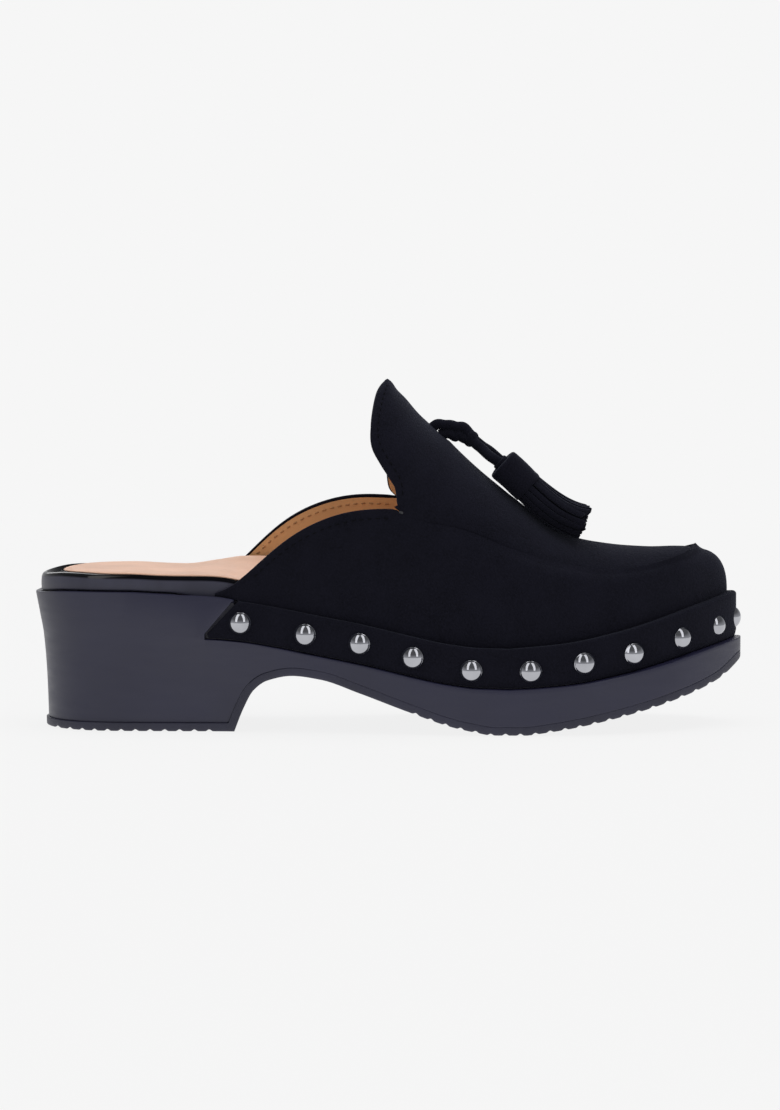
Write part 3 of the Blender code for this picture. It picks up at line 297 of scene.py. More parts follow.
def make_outline():
    """Dense outline of both sides from heel to toe, with inward normals."""
    rows = np.array(PLAN)
    outer = np.column_stack([rows[:, 0], -rows[:, 1]])
    inner = np.column_stack([rows[:, 0], rows[:, 2]])[::-1]
    points = np.vstack([[(0, 0)], outer, [(1, TOE_TIP_SIDE)], inner, [(0, 0)]])
    points = points * (SHOE_LENGTH, BALL_WIDTH)
    knots = np.concatenate([[0], np.cumsum(np.linalg.norm(np.diff(points, axis=0), axis=1))])
    dense = spline(knots, points, np.linspace(0, knots[-1], 4001)[:-1], closed=True)
    ahead = np.roll(dense, -1, axis=0) - np.roll(dense, 1, axis=0)
    inward = unit(np.column_stack([-ahead[:, 1], ahead[:, 0]]))
    start, turn = dense[:, 0].argmin(), dense[:, 0].argmax()
    outer_side = np.arange(start, turn + 1)
    inner_side = np.arange(turn, start + len(dense) + 1)[::-1] % len(dense)
    return {side: (dense[i], inward[i]) for side, i in (("outer", outer_side), ("inner", inner_side))}


OUTLINE = make_outline()


def outline_at(side, x):
    """Outline points and inward normals of one side at stations x."""
    points, inward = OUTLINE[side]
    place = np.interp(x, points[:, 0], np.arange(len(points)))
    columns = [np.interp(place, np.arange(len(points)), c) for c in (*points.T, *inward.T)]
    return np.column_stack(columns[:2]), unit(np.column_stack(columns[2:]))


def underside(x):
    arch = glide(ARCH_LINE, (x - HEEL_BLOCK_LENGTH) / (BALL_REST_START - HEEL_BLOCK_LENGTH))
    toe = glide(TOE_LINE, (x - BALL_REST_END) / (SHOE_LENGTH - BALL_REST_END))
    return np.where(x <= HEEL_BLOCK_LENGTH, 0, ARCH_RISE * arch) + TOE_SPRING * toe


def above_underside(x, thickness):
    """Height of the curve that runs parallel to the underside, thickness above it."""
    reach = np.linspace(-1, 1, 121)[:, None] * thickness
    return np.max(underside(x + reach) + np.sqrt(thickness**2 - reach**2 + 1e-15), axis=0)


def seat(x):
    station = x / SHOE_LENGTH
    rear = BALL_HEIGHT + (HEEL_HEIGHT - BALL_HEIGHT) * glide(SEAT_REAR, station)
    front = BALL_HEIGHT + (TOE_HEIGHT - BALL_HEIGHT) * glide(SEAT_FRONT, station)
    return np.where(station < SEAT_FRONT[0][0], rear, front)


def heel_top(x):
    return HEEL_HEIGHT * glide(HEEL_TOP, x / SHOE_LENGTH)


def open_share(x, run):
    return 1 - ease((x - WING_TIP - WING_RUN) / run)


def platform_top(x):
    return np.where(x < WING_TIP + WING_RUN, heel_top(x), seat(x))


def bed_floor(x):
    rise = 1 - ease((x - WING_TIP - WING_RUN + WING_FADE) / WING_FADE)
    return seat(x) + (heel_top(x) - seat(x)) * rise


def bed_line(x):
    rise = 1 - ease((x - WING_TIP) / (2 * WING_FADE))
    return seat(x) + (heel_top(x) - seat(x)) * rise


def toe_share(x):
    return np.clip((x - BALL_REST_START) / (SHOE_LENGTH - BALL_REST_START), 0, 1)


def wing_share(x):
    return ease((x - WING_TIP) / (BALL_REST_START - WING_TIP))


def band_low(x):
    return seat(x) - BAND_DROP - BAND_TOE_EXTRA * toe_share(x)


def wing_height(x):
    low = band_low(np.array([WING_TIP]))[0] + WING_NOSE
    high = heel_top(np.array([WING_TIP + WING_RUN]))[0]
    return low + (high - low) * (x - WING_TIP) / WING_RUN


def wing_start(z):
    low, high = wing_height(WING_TIP), wing_height(WING_TIP + WING_RUN)
    return WING_TIP + WING_CLEARANCE + WING_RUN * (z - low) / (high - low)


def band_inset(x):
    middle = (BAND_INSET_WING + BAND_INSET_TOE) / 3
    toe = (BAND_INSET_TOE - middle) * ease(toe_share(x))
    return BAND_INSET_WING + (middle - BAND_INSET_WING) * wing_share(x) + toe


def vamp_inset(x):
    return band_inset(x) + LEDGE_WING + (LEDGE_TOE - LEDGE_WING) * wing_share(x)


def bed_inset(x):
    inside = vamp_inset(x) + WALL + 2.5 * GAP
    return BED_HEEL_INSET + (inside - BED_HEEL_INSET) * ease((x - (WING_TIP - WING_FADE)) / WING_FADE)


def dish(x):
    station = x / SHOE_LENGTH
    return TOE_DISH * ease((station - 0.56) / 0.2) * (1 - ease((station - 0.86) / 0.14))


def flare(x, z):
    start = heel_top(x) + (band_low(x) - heel_top(x)) * ease((x / WING_TIP - 0.5) / 0.5)
    fade = 1 - ease((x - WING_TIP) / (HEEL_BLOCK_LENGTH - WING_TIP + FLARE_RUN_OUT))
    return HEEL_FLARE * fade * (1 - np.exp(-np.clip(start - z, 0, None) / FLARE_DEPTH))


def spread(start, end, steps, bunch=0):
    """Stations from start to end, closer together at the start (-1) or at the end (1)."""
    share = np.linspace(0, 1, steps + 1)
    if bunch < 0:
        share = 1 - np.cos(share * math.pi / 2)
    if bunch > 0:
        share = np.sin(share * math.pi / 2)
    return start + (end - start) * share


def merged(*spans, closest):
    """All stations in order, without near doubles. The first span's stations are always kept."""
    kept = list(spans[0])
    for x in np.concatenate(spans[1:]):
        if min(abs(x - k) for k in kept) > closest:
            kept.append(x)
    return np.array(sorted(kept))


# ---------------------------------------------------------------- pieces

def add_piece(name, points, faces, look, replaces=(), sharp=40):
    """A mesh piece on the shoe's one body, from points in the heel's frame."""
    points = np.asarray(points, float) + SHIFT
    mesh = bpy.data.meshes.new(name)
    mesh.from_pydata(points.tolist(), [], [tuple(map(int, f)) for f in faces])
    shape = bmesh.new()
    shape.from_mesh(mesh)
    bmesh.ops.recalc_face_normals(shape, faces=shape.faces)
    shape.to_mesh(mesh)
    shape.free()
    mesh.shade_smooth()
    mesh.set_sharp_from_angle(angle=math.radians(sharp))
    mesh.materials.append(look)
    thing = bpy.data.objects.new(name, mesh)
    bpy.context.scene.collection.objects.link(thing)
    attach(thing, "root")
    if replaces:
        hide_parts(*replaces)
    return thing


def loft(rings, around, ends=False):
    """Faces between rings of around points each. ends closes the first and the last ring."""
    faces = []
    for i in range(rings - 1):
        for k in range(around):
            n = (k + 1) % around
            faces.append((i * around + k, i * around + n, (i + 1) * around + n, (i + 1) * around + k))
    if ends:
        faces += [tuple(range(around))[::-1], tuple((rings - 1) * around + k for k in range(around))]
    return faces


def gather(points, faces, more_points, more_faces):
    """Adds one form's points and faces to the lists of many."""
    base = len(points)
    points += list(more_points)
    faces += [tuple(base + v for v in face) for face in more_faces]


class Ring:
    """Matching points round the outline: heel, outer side, toe, inner side."""

    def __init__(self, stations):
        outer, outer_in = outline_at("outer", stations)
        inner, inner_in = outline_at("inner", stations[-2:0:-1])
        self.x = np.concatenate([stations, stations[-2:0:-1]])
        self.plan = np.vstack([outer, inner])
        self.inward = np.vstack([outer_in, inner_in])
        self.inward[0], self.inward[len(stations) - 1] = (1, 0), (-1, 0)
        self.inner_side = np.arange(len(self.x)) >= len(stations)
        self.half = len(stations)

    def at(self, inset, z):
        plan = self.plan + self.inward * np.broadcast_to(inset, self.x.shape)[:, None]
        return np.column_stack([plan, np.broadcast_to(z, self.x.shape)])


def ladder_rows(ring, corners, columns, sag):
    """Rows across a closed ring of corners: one point at each tip, columns points between the sides."""
    new, rows = [], [[0]]
    count = len(corners)
    for i in range(1, ring.half - 1):
        a, b = corners[i], corners[count - i]
        row = [i]
        for c in range(columns):
            w = (c + 1) / (columns + 1)
            drop = sag(ring.x[i]) * (1 - (2 * w - 1) ** 4)
            new.append(a + (b - a) * w - (0, 0, drop))
            row.append(-len(new))
        rows.append(row + [count - i])
    rows.append([ring.half - 1])
    return new, rows


def strip(a, b):
    """Faces between two rows of vertex numbers, one of which may be a single point."""
    if len(a) == 1:
        return [(a[0], b[i], b[i + 1]) for i in range(len(b) - 1)]
    if len(b) == 1:
        return [(b[0], a[i + 1], a[i]) for i in range(len(a) - 1)]
    return [(a[i], b[i], b[i + 1], a[i + 1]) for i in range(len(a) - 1)]


def ringed(ring, rings, columns=(0, 0), sags=(None, None)):
    """Points and faces of a solid whose side runs through the rings, closed by ladders below and above."""
    points = list(np.vstack(rings))
    count = len(rings[0])
    faces = loft(len(rings), count)
    for level, cols, sag in ((0, columns[0], sags[0]), (len(rings) - 1, columns[1], sags[1])):
        base = level * count
        new, rows = ladder_rows(ring, rings[level], cols, sag or (lambda x: 0))
        start = len(points)
        points += new
        rows = [[base + v if v >= 0 else start - v - 1 for v in row] for row in rows]
        for a, b in zip(rows, rows[1:]):
            faces += strip(a, b)
    return points, faces


def platform_stations():
    notch, slit = WING_TIP + WING_RUN, WING_CLEARANCE * 0.3
    reach = BALL_REST_START - HEEL_BLOCK_LENGTH
    turns = [spread(0, SHOE_LENGTH * 0.15, 30, -1), spread(SHOE_LENGTH * 0.92, SHOE_LENGTH, 30, 1)]
    wing = [WING_TIP, WING_TIP + slit, notch - slit, notch + slit]
    return merged(
        np.concatenate([*turns, wing]),
        spread(HEEL_BLOCK_LENGTH, HEEL_BLOCK_LENGTH + 0.28 * reach, 34, -1),
        spread(SHOE_LENGTH * 0.15, WING_TIP, 10),
        spread(WING_TIP, HEEL_BLOCK_LENGTH, 16),
        spread(HEEL_BLOCK_LENGTH + 0.28 * reach, SHOE_LENGTH * 0.92, 60),
        closest=0.35 * MM,
    )


def make_platform(look):
    """The moulded platform with its block heel and softened edges."""
    ring = Ring(platform_stations())
    x = ring.x
    top, low = platform_top(x), band_low(x)
    bottom = above_underside(x, OUTSOLE_THICKNESS + 0.25 * GAP)
    roof = np.where(x < WING_TIP + WING_RUN, wing_height(x), top)
    recess = np.where(x > WING_TIP, band_inset(x) + WALL + GAP, 0)
    full = x > WING_TIP + WING_RUN
    soft = 0.5 * MM
    levels = [(bottom, np.full(len(x), soft * 0.08)), (bottom + soft * 0.2, 0 * x)]
    levels += [(bottom + soft * 0.7 + (low - bottom - soft * 1.2) * t, 0 * x) for t in np.linspace(0, 1, 9)]
    in_band = recess > 0
    levels += [
        (np.where(in_band, low - soft * 0.15, low), np.where(in_band, soft * 0.14, 0)),
        (low + 0 * x, np.where(in_band, soft * 0.5, 0)),
        (low + GAP, recess),
        (np.clip(roof, low + 2 * GAP, top - 3 * GAP), recess),
        (np.clip(roof + GAP, low + 3 * GAP, top - 1.5 * GAP), np.where(full, recess, 0)),
        (top - soft, np.where(full, recess + 0.7 * GAP, 0)),
        (top - soft * 0.3, np.where(full, recess + 1.2 * GAP, soft * 0.3)),
        (top, np.where(full, recess + 1.4 * GAP, soft)),
    ]
    rings = [ring.at(inset + flare(x, z), z) for z, inset in levels]
    rings.append(ring.at(bed_inset(x), bed_floor(x)))
    rings.append(ring.at(bed_inset(x) + INSOLE_INSET, bed_floor(x) - 1.25 * dish(x) - GAP))
    points, faces = ringed(ring, rings)
    return add_piece("platform_body", points, faces, look, ["platform"])


def rib_stations():
    heel = np.arange(RIB_END_MARGIN, HEEL_BLOCK_LENGTH - OUTSOLE_THICKNESS - RIB_GROOVE_WIDTH, RIB_PITCH)
    fore = np.arange(FORE_RIBS_START, SHOE_LENGTH - RIB_END_MARGIN, RIB_PITCH)
    return np.concatenate([heel, fore])


def make_outsole(look):
    """The rubber layer with rounded grooves that run out at its sides."""
    grooves = rib_stations()
    reach = BALL_REST_START - HEEL_BLOCK_LENGTH
    wide = RIB_GROOVE_WIDTH * 0.75
    across = np.concatenate([grooves + wide * t for t in (-1, -0.72, -0.45, -0.2, 0, 0.2, 0.45, 0.72, 1)])
    thick = OUTSOLE_THICKNESS
    stations = merged(
        np.concatenate([[0, SHOE_LENGTH], across[(across > 0.4 * MM) & (across < SHOE_LENGTH - 0.4 * MM)]]),
        HEEL_BLOCK_LENGTH - thick * np.linspace(1.1, 0.1, 8),
        spread(HEEL_BLOCK_LENGTH, HEEL_BLOCK_LENGTH + 0.28 * reach, 34, -1),
        spread(HEEL_BLOCK_LENGTH + 0.28 * reach, FORE_RIBS_START, 20),
        spread(0, RIB_END_MARGIN, 14, -1),
        spread(SHOE_LENGTH * 0.95, SHOE_LENGTH, 24, 1),
        np.arange(RIB_END_MARGIN, SHOE_LENGTH, RIB_PITCH / 3),
        closest=0.22 * MM,
    )
    ring = Ring(stations)
    x = ring.x
    away = np.abs(x[:, None] - grooves).min(axis=1) / wide
    cut = RIB_GROOVE_DEPTH * 0.8 * np.where(away < 1, 0.5 + 0.5 * np.cos(math.pi * np.clip(away, 0, 1)), 0)
    lip = OUTSOLE_LIP * np.clip(flare(x, 0) / HEEL_FLARE, 0, 1)
    side = flare(x, OUTSOLE_THICKNESS) - lip
    low, high = underside(x), above_underside(x, OUTSOLE_THICKNESS)
    body = high - low
    rings = [ring.at(side + 2 * GAP, low + cut), ring.at(side + 0.9 * GAP, low + cut + 0.05 * body)]
    rings += [ring.at(side + 0.25 * GAP, np.minimum(low + cut + 0.16 * body, high - 2 * GAP))]
    rings += [ring.at(side, np.minimum(low + cut * (1 - t) + body * t, high - (3 - k) * 0.4 * GAP))
              for k, t in enumerate((0.32, 0.6, 0.86))]
    rings += [ring.at(side + 0.04 * GAP, high - 0.05 * GAP), ring.at(side + 0.2 * GAP, high + 0.05 * GAP)]
    points, faces = ringed(ring, rings)
    return add_piece("sole_layer", points, faces, look, ["outsole"], sharp=60)


def bed_stations():
    turns = [spread(0, SHOE_LENGTH * 0.14, 28, -1), spread(SHOE_LENGTH * 0.92, SHOE_LENGTH, 24, 1)]
    return merged(
        np.concatenate(turns),
        np.linspace(SHOE_LENGTH * 0.14, SHOE_LENGTH * 0.92, 90),
        closest=0.6 * MM,
    )


def bed_edge(ring):
    station = ring.x / SHOE_LENGTH
    rows = np.array(BED_LINE)
    thick = BED_THICKNESS * glide(rows[:, :2], station)
    arch = np.where(ring.inner_side, ARCH_SUPPORT * glide(rows[:, ::2], station), 0)
    return bed_line(ring.x) + GAP + thick + arch


def bed_sag(x):
    station = x / SHOE_LENGTH
    return dish(x) + ARCH_SUPPORT * 0.25 * ease((station - 0.22) / 0.1) * (1 - ease((station - 0.4) / 0.2))


def heel_share(x, reach):
    """1 at the heel's end, fading out along the sides."""
    return 1 - ease(x / reach)


def make_footbed(look):
    """The wrapped footbed with its glossy rounded edge."""
    ring = Ring(bed_stations())
    inset, top = bed_inset(ring.x), bed_floor(ring.x)
    edge = bed_edge(ring) + WRAP_LIFT + HEEL_TURN * heel_share(ring.x, HEEL_TURN_REACH)
    rings = [
        ring.at(inset + INSOLE_INSET, top - dish(ring.x) + 1.5 * GAP),
        ring.at(inset + 0.4 * MM, top + 1.5 * GAP),
        ring.at(inset + 0.1 * MM, top + 1.8 * GAP),
    ]
    swell = 0.12 * MM
    for t in np.linspace(0.06, 0.94, 8):
        z = top + 1.5 * GAP + (edge - WRAP_ROUND - top - 1.5 * GAP) * t
        rings.append(ring.at(inset - swell * math.sin(math.pi * t), z))
    for a in np.linspace(0, math.pi / 2, 8):
        rings.append(ring.at(inset + WRAP_ROUND * (1 - math.cos(a)), edge - WRAP_ROUND * (1 - math.sin(a))))
    rings.append(ring.at(inset + INSOLE_INSET, bed_edge(ring)))
    points, faces = ringed(ring, rings, (0, 11), (None, bed_sag))
    return add_piece("footbed_wrap", points, faces, look, ["footbed"], sharp=50)


def make_insole(look):
    """The tan sock with a thin rounded edge and a faint pressed line inside it."""
    ring = Ring(bed_stations())
    forward = SOCK_SHORT * heel_share(ring.x, SOCK_SHORT_REACH)
    ring.plan[:, 0] += forward
    ring.x = ring.x + forward
    inset, edge = bed_inset(ring.x) + INSOLE_INSET - SOCK_WIDER, bed_edge(ring) + GAP
    soft = SOCK_EDGE * 0.8
    rings = [
        ring.at(inset + 1.2 * MM, edge),
        ring.at(inset, edge + INSOLE_THICKNESS - SOCK_EDGE),
        ring.at(inset - 0.1 * MM, edge + INSOLE_THICKNESS - soft),
    ]
    for a in np.linspace(0.25, 1, 4) * math.pi / 2:
        z = edge + INSOLE_THICKNESS - soft * (1 - math.sin(a))
        rings.append(ring.at(inset - 0.1 * MM + soft * (1 - math.cos(a)), z))
    rings.append(ring.at(inset + 1.6 * MM, edge + INSOLE_THICKNESS - 0.02 * MM))
    rings.append(ring.at(inset + 2.0 * MM, edge + INSOLE_THICKNESS - 0.16 * MM))
    rings.append(ring.at(inset + 2.4 * MM, edge + INSOLE_THICKNESS - 0.02 * MM))
    points, faces = ringed(ring, rings, (11, 17), (bed_sag, bed_sag))
    return add_piece("insole_sock", points, faces, look, ["insole"], sharp=60)


# ---------------------------------------------------------------- upper

def sections_at(u):
    """Edges, crown, base station and roundness of the apron and tongue at section numbers u."""
    table = np.array(SECTIONS)
    base, edge, outer, inner, outer_rise, inner_rise, crown, crown_rise, roundness = spline(
        np.arange(len(table)), table, u
    ).T
    base = glide(np.column_stack([np.arange(NOTCH_ROW + 1), table[: NOTCH_ROW + 1, 0]]), u)
    floor = seat(base * SHOE_LENGTH)
    outer_edge = np.column_stack([edge * SHOE_LENGTH, -outer * BALL_WIDTH, floor + outer_rise * TONGUE_RISE])
    inner_edge = np.column_stack([edge * SHOE_LENGTH, inner * BALL_WIDTH, floor + inner_rise * TONGUE_RISE])
    middle = (inner - outer) / 2 * BALL_WIDTH
    top = np.column_stack([crown * SHOE_LENGTH, middle, floor + crown_rise * TONGUE_RISE])
    return base * SHOE_LENGTH, outer_edge, inner_edge, top, np.clip(roundness, 0, 1)


def crown_height(x):
    top = sections_at(np.linspace(0, len(SECTIONS) - 1, 800))[3]
    order = np.argsort(top[:, 0])
    return np.interp(x, top[order, 0], top[order, 2])


SEAM_COUNT = 96
COARSE_SEAM = 18  # columns of the solids along the seam


def seam_sections():
    share = np.linspace(0, 1, SEAM_COUNT)
    return NOTCH_ROW * (0.55 * share + 0.45 * share**2)


def normals_of(grid):
    return unit(np.cross(np.gradient(grid, axis=1), np.gradient(grid, axis=0)))


def apron_grid(u, columns):
    """Outer face of apron and tongue, one row for each section from outer to inner edge, and its normals."""
    outer, inner, top, roundness = sections_at(u)[1:]
    middle = (outer + inner) / 2
    half, lift = (outer - inner) / 2, top - middle
    w = np.linspace(-1, 1, columns)
    grid = np.empty((len(u), columns, 3))
    for c, share in enumerate(w):
        arch = middle - half * math.sin(share * math.pi / 2) + lift * math.cos(share * math.pi / 2)
        crown = middle - half * share + lift * (1 - share**2)
        grid[:, c] = crown + (arch - crown) * roundness[:, None]
    grid[0] = outer[0]
    normals = normals_of(grid)
    normals[0] = (0, 0, 1)
    return grid, normals * np.sign(normals[..., 2:] + 1e-9 + 10 * (roundness[:, None, None] > 0.9))


def outer_columns():
    seam = sections_at(seam_sections())[0][::-1]
    start = WING_TIP + WING_CLEARANCE
    middle = start + WING_FADE
    wing = np.concatenate([spread(start, middle, 30), spread(middle, seam[0], 26)[1:-1]])
    return wing, seam


BAND_SHARES = np.array([0.0, 0.12, 0.25, 0.4, 0.55, 0.7, 0.85, 1.0])  # up the band's face
ROUND_STEPS = np.linspace(0, 1, 7)[1:]  # over the band's edge
WALL_SHARES = np.concatenate([[0, 0.02, 0.045], np.linspace(0.08, 0.84, 20), np.linspace(0.86, 1, 10)])
BAND_ROWS = len(BAND_SHARES) + len(ROUND_STEPS)


def wall_top(side, x, seam_count):
    rows = np.array(TOPLINE)
    half, rise = (1, 3) if side == "outer" else (2, 4)
    sign = -1 if side == "outer" else 1
    line = spline(rows[:, 0], rows[:, [half, rise]], x / SHOE_LENGTH)
    points = np.column_stack([x, sign * line[:, 0] * BALL_WIDTH, seat(x) + line[:, 1] * TONGUE_RISE])
    seam = sections_at(seam_sections())[1 if side == "outer" else 2][::-1]
    points[-seam_count:] = seam
    return points


def row_starts():
    """Station of each row's rear end: the wing's slanting edge, then the wall's tail."""
    low = band_low(np.array([WING_TIP]))[0] + 2.2 * GAP
    step = seat(np.array([WING_TIP + WING_RUN]))[0] + GAP + WALL
    heights = [low, low + 0.7 * WING_NOSE, step - LEDGE_ROUND, step - LEDGE_ROUND * 0.3, step]
    places = [WING_TIP + 1.5 * WING_CLEARANCE, WING_TIP + WING_CLEARANCE]
    places += [wing_start(z) + 0.9 * WING_CLEARANCE for z in heights[2:]]
    band = low + (step - LEDGE_ROUND - low) * BAND_SHARES
    edge = step - LEDGE_ROUND + LEDGE_ROUND * np.sin(ROUND_STEPS * math.pi / 2)
    starts = list(np.interp(np.concatenate([band, edge]), heights, places))
    starts += [wing_start(step + 0.3 * LEDGE_ROUND) + 0.9 * WING_CLEARANCE]
    return np.array(starts + [TAIL_START] * (len(WALL_SHARES) - 1))


def row_shift(x):
    fade = np.clip(1 - (x - WING_TIP - WING_CLEARANCE) / WING_FADE, 0, 1)
    return (row_starts() - WING_TIP - WING_CLEARANCE)[None, :] * fade[:, None]


def vamp_side(side):
    """Outer and inner grids of one side of the vamp, columns from the wing to the toe."""
    wing, seam = outer_columns()
    stations = np.concatenate([wing, seam])
    x = stations[:, None] + row_shift(stations)
    outer = np.empty((*x.shape, 3))
    inner = np.empty_like(outer)
    band, ledge = band_inset(x), vamp_inset(x)
    low = band_low(x) + 2.2 * GAP
    step = seat(x) + GAP + WALL
    outside, inside = [], []
    for share in BAND_SHARES:
        soft = 0.35 * MM * (1 - min(1, share / 0.12)) ** 2
        outside.append((band + soft, low + (step - LEDGE_ROUND - low) * share))
        inside.append((band + WALL, low + (step - WALL * 1.3 - low) * share))
    for share in ROUND_STEPS:
        a = share * math.pi / 2
        outside.append((band + LEDGE_ROUND * (1 - math.cos(a)), step - LEDGE_ROUND * (1 - math.sin(a))))
        corner = WALL * (1 + 0.4 * (1 - math.cos(a)))
        inside.append((band + corner, step - WALL * 1.3 + WALL * 0.3 * math.sin(a)))
    for grid, levels in ((outer, outside), (inner, inside)):
        for j, (inset, z) in enumerate(levels):
            plan, inward = outline_at(side, x[:, j])
            grid[:, j] = np.column_stack([plan + inward * inset[:, j, None], z[:, j]])
    j = BAND_ROWS
    above = (heel_top(x) - seat(x)) * open_share(x, WING_RUN * 0.6)
    plan, inward = outline_at(side, x[:, j + 1])
    start = np.maximum(step, seat(x) + above + 1.5 * GAP)
    foot = np.column_stack([plan + inward * ledge[:, j + 1, None], start[:, j + 1]])
    top = wall_top(side, x[:, -1], len(seam))
    fullness = 0.25 + 0.75 * ease((stations / SHOE_LENGTH - 0.42) / 0.3)
    power = 2 / (2 + 0.5 * ease((stations / SHOE_LENGTH - 0.6) / 0.3))
    for k, share in enumerate(WALL_SHARES):
        angle = share * math.pi / 2
        over = (1 - (math.cos(angle) + 1e-12) ** power) * fullness + share * (1 - fullness)
        up = math.sin(angle) ** power * fullness + share * (1 - fullness)
        outer[:, j + k, :2] = foot[:, :2] + (top - foot)[:, :2] * over[:, None]
        outer[:, j + k, 2] = foot[:, 2] + (top - foot)[:, 2] * up
    plan, inward = outline_at(side, x[:, j])
    outer[:, j] = np.column_stack([plan + inward * ledge[:, j, None], start[:, j]])
    rear = (seat(x) + above)[:, j] + 1.2 * GAP
    inner[:, j] = np.column_stack([plan + inward * (ledge[:, j, None] + WALL), rear])
    return outer, inner


def make_grids():
    """Outer and inner grids of the vamp and of the apron with its tongue, meeting along the raised seam."""
    left, left_in = vamp_side("outer")
    right, right_in = vamp_side("inner")
    outer = np.concatenate([left, right[-2::-1]])
    inner = np.concatenate([left_in, right_in[-2::-1]])
    j = BAND_ROWS
    normals = normals_of(outer[:, j:])
    away = outer[:, j:] - (outer[:, j:].mean(axis=0) + (0, 0, -0.02))
    normals *= np.sign((normals * away).sum(axis=-1, keepdims=True).mean(axis=(0, 1)))
    # The lowest rows face the way of the fifth, also where the wing folds them over
    normals[:, :4] *= np.sign((normals[:, :4] * normals[:, 4:5]).sum(axis=-1, keepdims=True))
    inner[:, j + 1 :] = outer[:, j + 1 :] - normals[:, 1:] * WALL

    seam = seam_sections()
    tongue = spread(NOTCH_ROW, len(SECTIONS) - 1, 54)[1:]
    sections = np.concatenate([seam, tongue])
    columns = 61
    apron, apron_normals = apron_grid(sections, columns)
    apron_in = apron - apron_normals * WALL

    middle = len(left) - 1
    along = unit(np.gradient(outer[:, -1], axis=0))
    slant = normals[:, -1].copy()
    for i in range(len(seam)):
        slant[middle - i] += apron_normals[i, 0]
        slant[middle + i] += apron_normals[i, -1]
    for _ in range(90):
        slant = unit(slant)
        slant[1:-1] += (slant[:-2] + slant[2:]) / 2
    for i in range(len(seam)):
        for column, edge in ((middle - i, 0), (middle + i, -1)):
            through = unit(slant[column])
            into = unit(np.cross(through, along[column]))
            into *= np.sign(into @ (apron[i, columns // 2] - apron[i, edge]) if i else -into[0])
            inner[column, -1] = outer[column, -1] - through * WALL
            apron[i, edge] = outer[column, -1] + into * SEAM_SLIT
            apron_in[i, edge] = inner[column, -1] + into * SEAM_SLIT
    apron[0] = apron[0, 0]
    apron_in[0] = apron_in[0, 0]

    slide = glide(NOTCH_SLIDE, sections) * MM
    fade = ease(1 - np.arange(columns) / 16)
    for face in (apron, apron_in):
        face[..., 0] += slide[:, None] * fade

    count = len(seam)
    for face in (apron, apron_in):
        front = np.concatenate([face[count - 1 :: -1, 0], face[1:count, -1]])
        inside = face[1:count, 1:-1]
        limit = np.interp(inside[..., 1], front[:, 1], front[:, 0])
        behind = 0.5 * GAP * np.arange(1, count)[:, None] * (COARSE_SEAM - 1) / (SEAM_COUNT - 1)
        inside[..., 0] = np.minimum(inside[..., 0], limit - behind)

    station = np.concatenate(outer_columns())
    lift = SEAM_RIDGE * ease((station / SHOE_LENGTH - 0.52) / 0.2)
    lift = np.concatenate([lift, lift[-2::-1]])[:, None]
    away = unit(outer[:, -1] - inner[:, -1]) * lift
    front = ease((station / SHOE_LENGTH - 0.84) / 0.12)
    front = np.concatenate([front, front[-2::-1]])[:, None]
    away *= 1 + TOE_RIDGE_MORE * front
    away[:, :1] += TOE_RIDGE_FORWARD * front
    for k, share in enumerate(WALL_SHARES):
        outer[:, j + k] += away * max(0, (share - 0.82) / 0.18) ** 2
    for grid in (outer, inner, apron, apron_in):
        grid[..., 0] += TOE_FORWARD * ease((grid[..., 0] / SHOE_LENGTH - 0.87) / 0.1)
    return outer, inner, apron, apron_in


def crease(outer, depth):
    """Soft troughs and ridges across the vamp's sides, on the wall rows of the outer grid."""
    j = BAND_ROWS
    wall = outer[:, j:]
    normals = normals_of(wall)
    centre = wall.mean(axis=(0, 1))
    normals *= np.sign((normals * (wall - centre)).sum(axis=-1, keepdims=True))
    station = wall[..., 0] / SHOE_LENGTH
    up = WALL_SHARES[None, :]
    push = np.zeros(station.shape)
    for place, height, wide, share in CREASES:
        across = (station - place - 0.10 * (up - height)) / wide
        down = (up - height) / 0.26
        push -= share * np.exp(-across**2 - down**2)
    push *= ease(up / 0.15) * ease((0.97 - up) / 0.12)
    outer[:, j:] += normals * push[..., None] * depth


def walk(row):
    return np.concatenate([[0], np.cumsum(np.linalg.norm(np.diff(row, axis=0), axis=1))])


def points_at(row, length, at):
    """Points of a row at distances along it, where length is the distance of each of its points."""
    return np.array([np.interp(at, length, v) for v in row.T]).T


def cut_rows(grid, drop, count):
    """Each column of a grid as count points, from just past its first point to drop before its last."""
    out = np.empty((len(grid), count, 3))
    for c, column in enumerate(grid):
        length = walk(column)
        stop = max(length[-1] - drop[c], length[-1] * 0.08)
        at = np.linspace(min(1.5 * MM, 0.3 * stop), stop, count)
        out[c] = points_at(column, length, at)
    return out


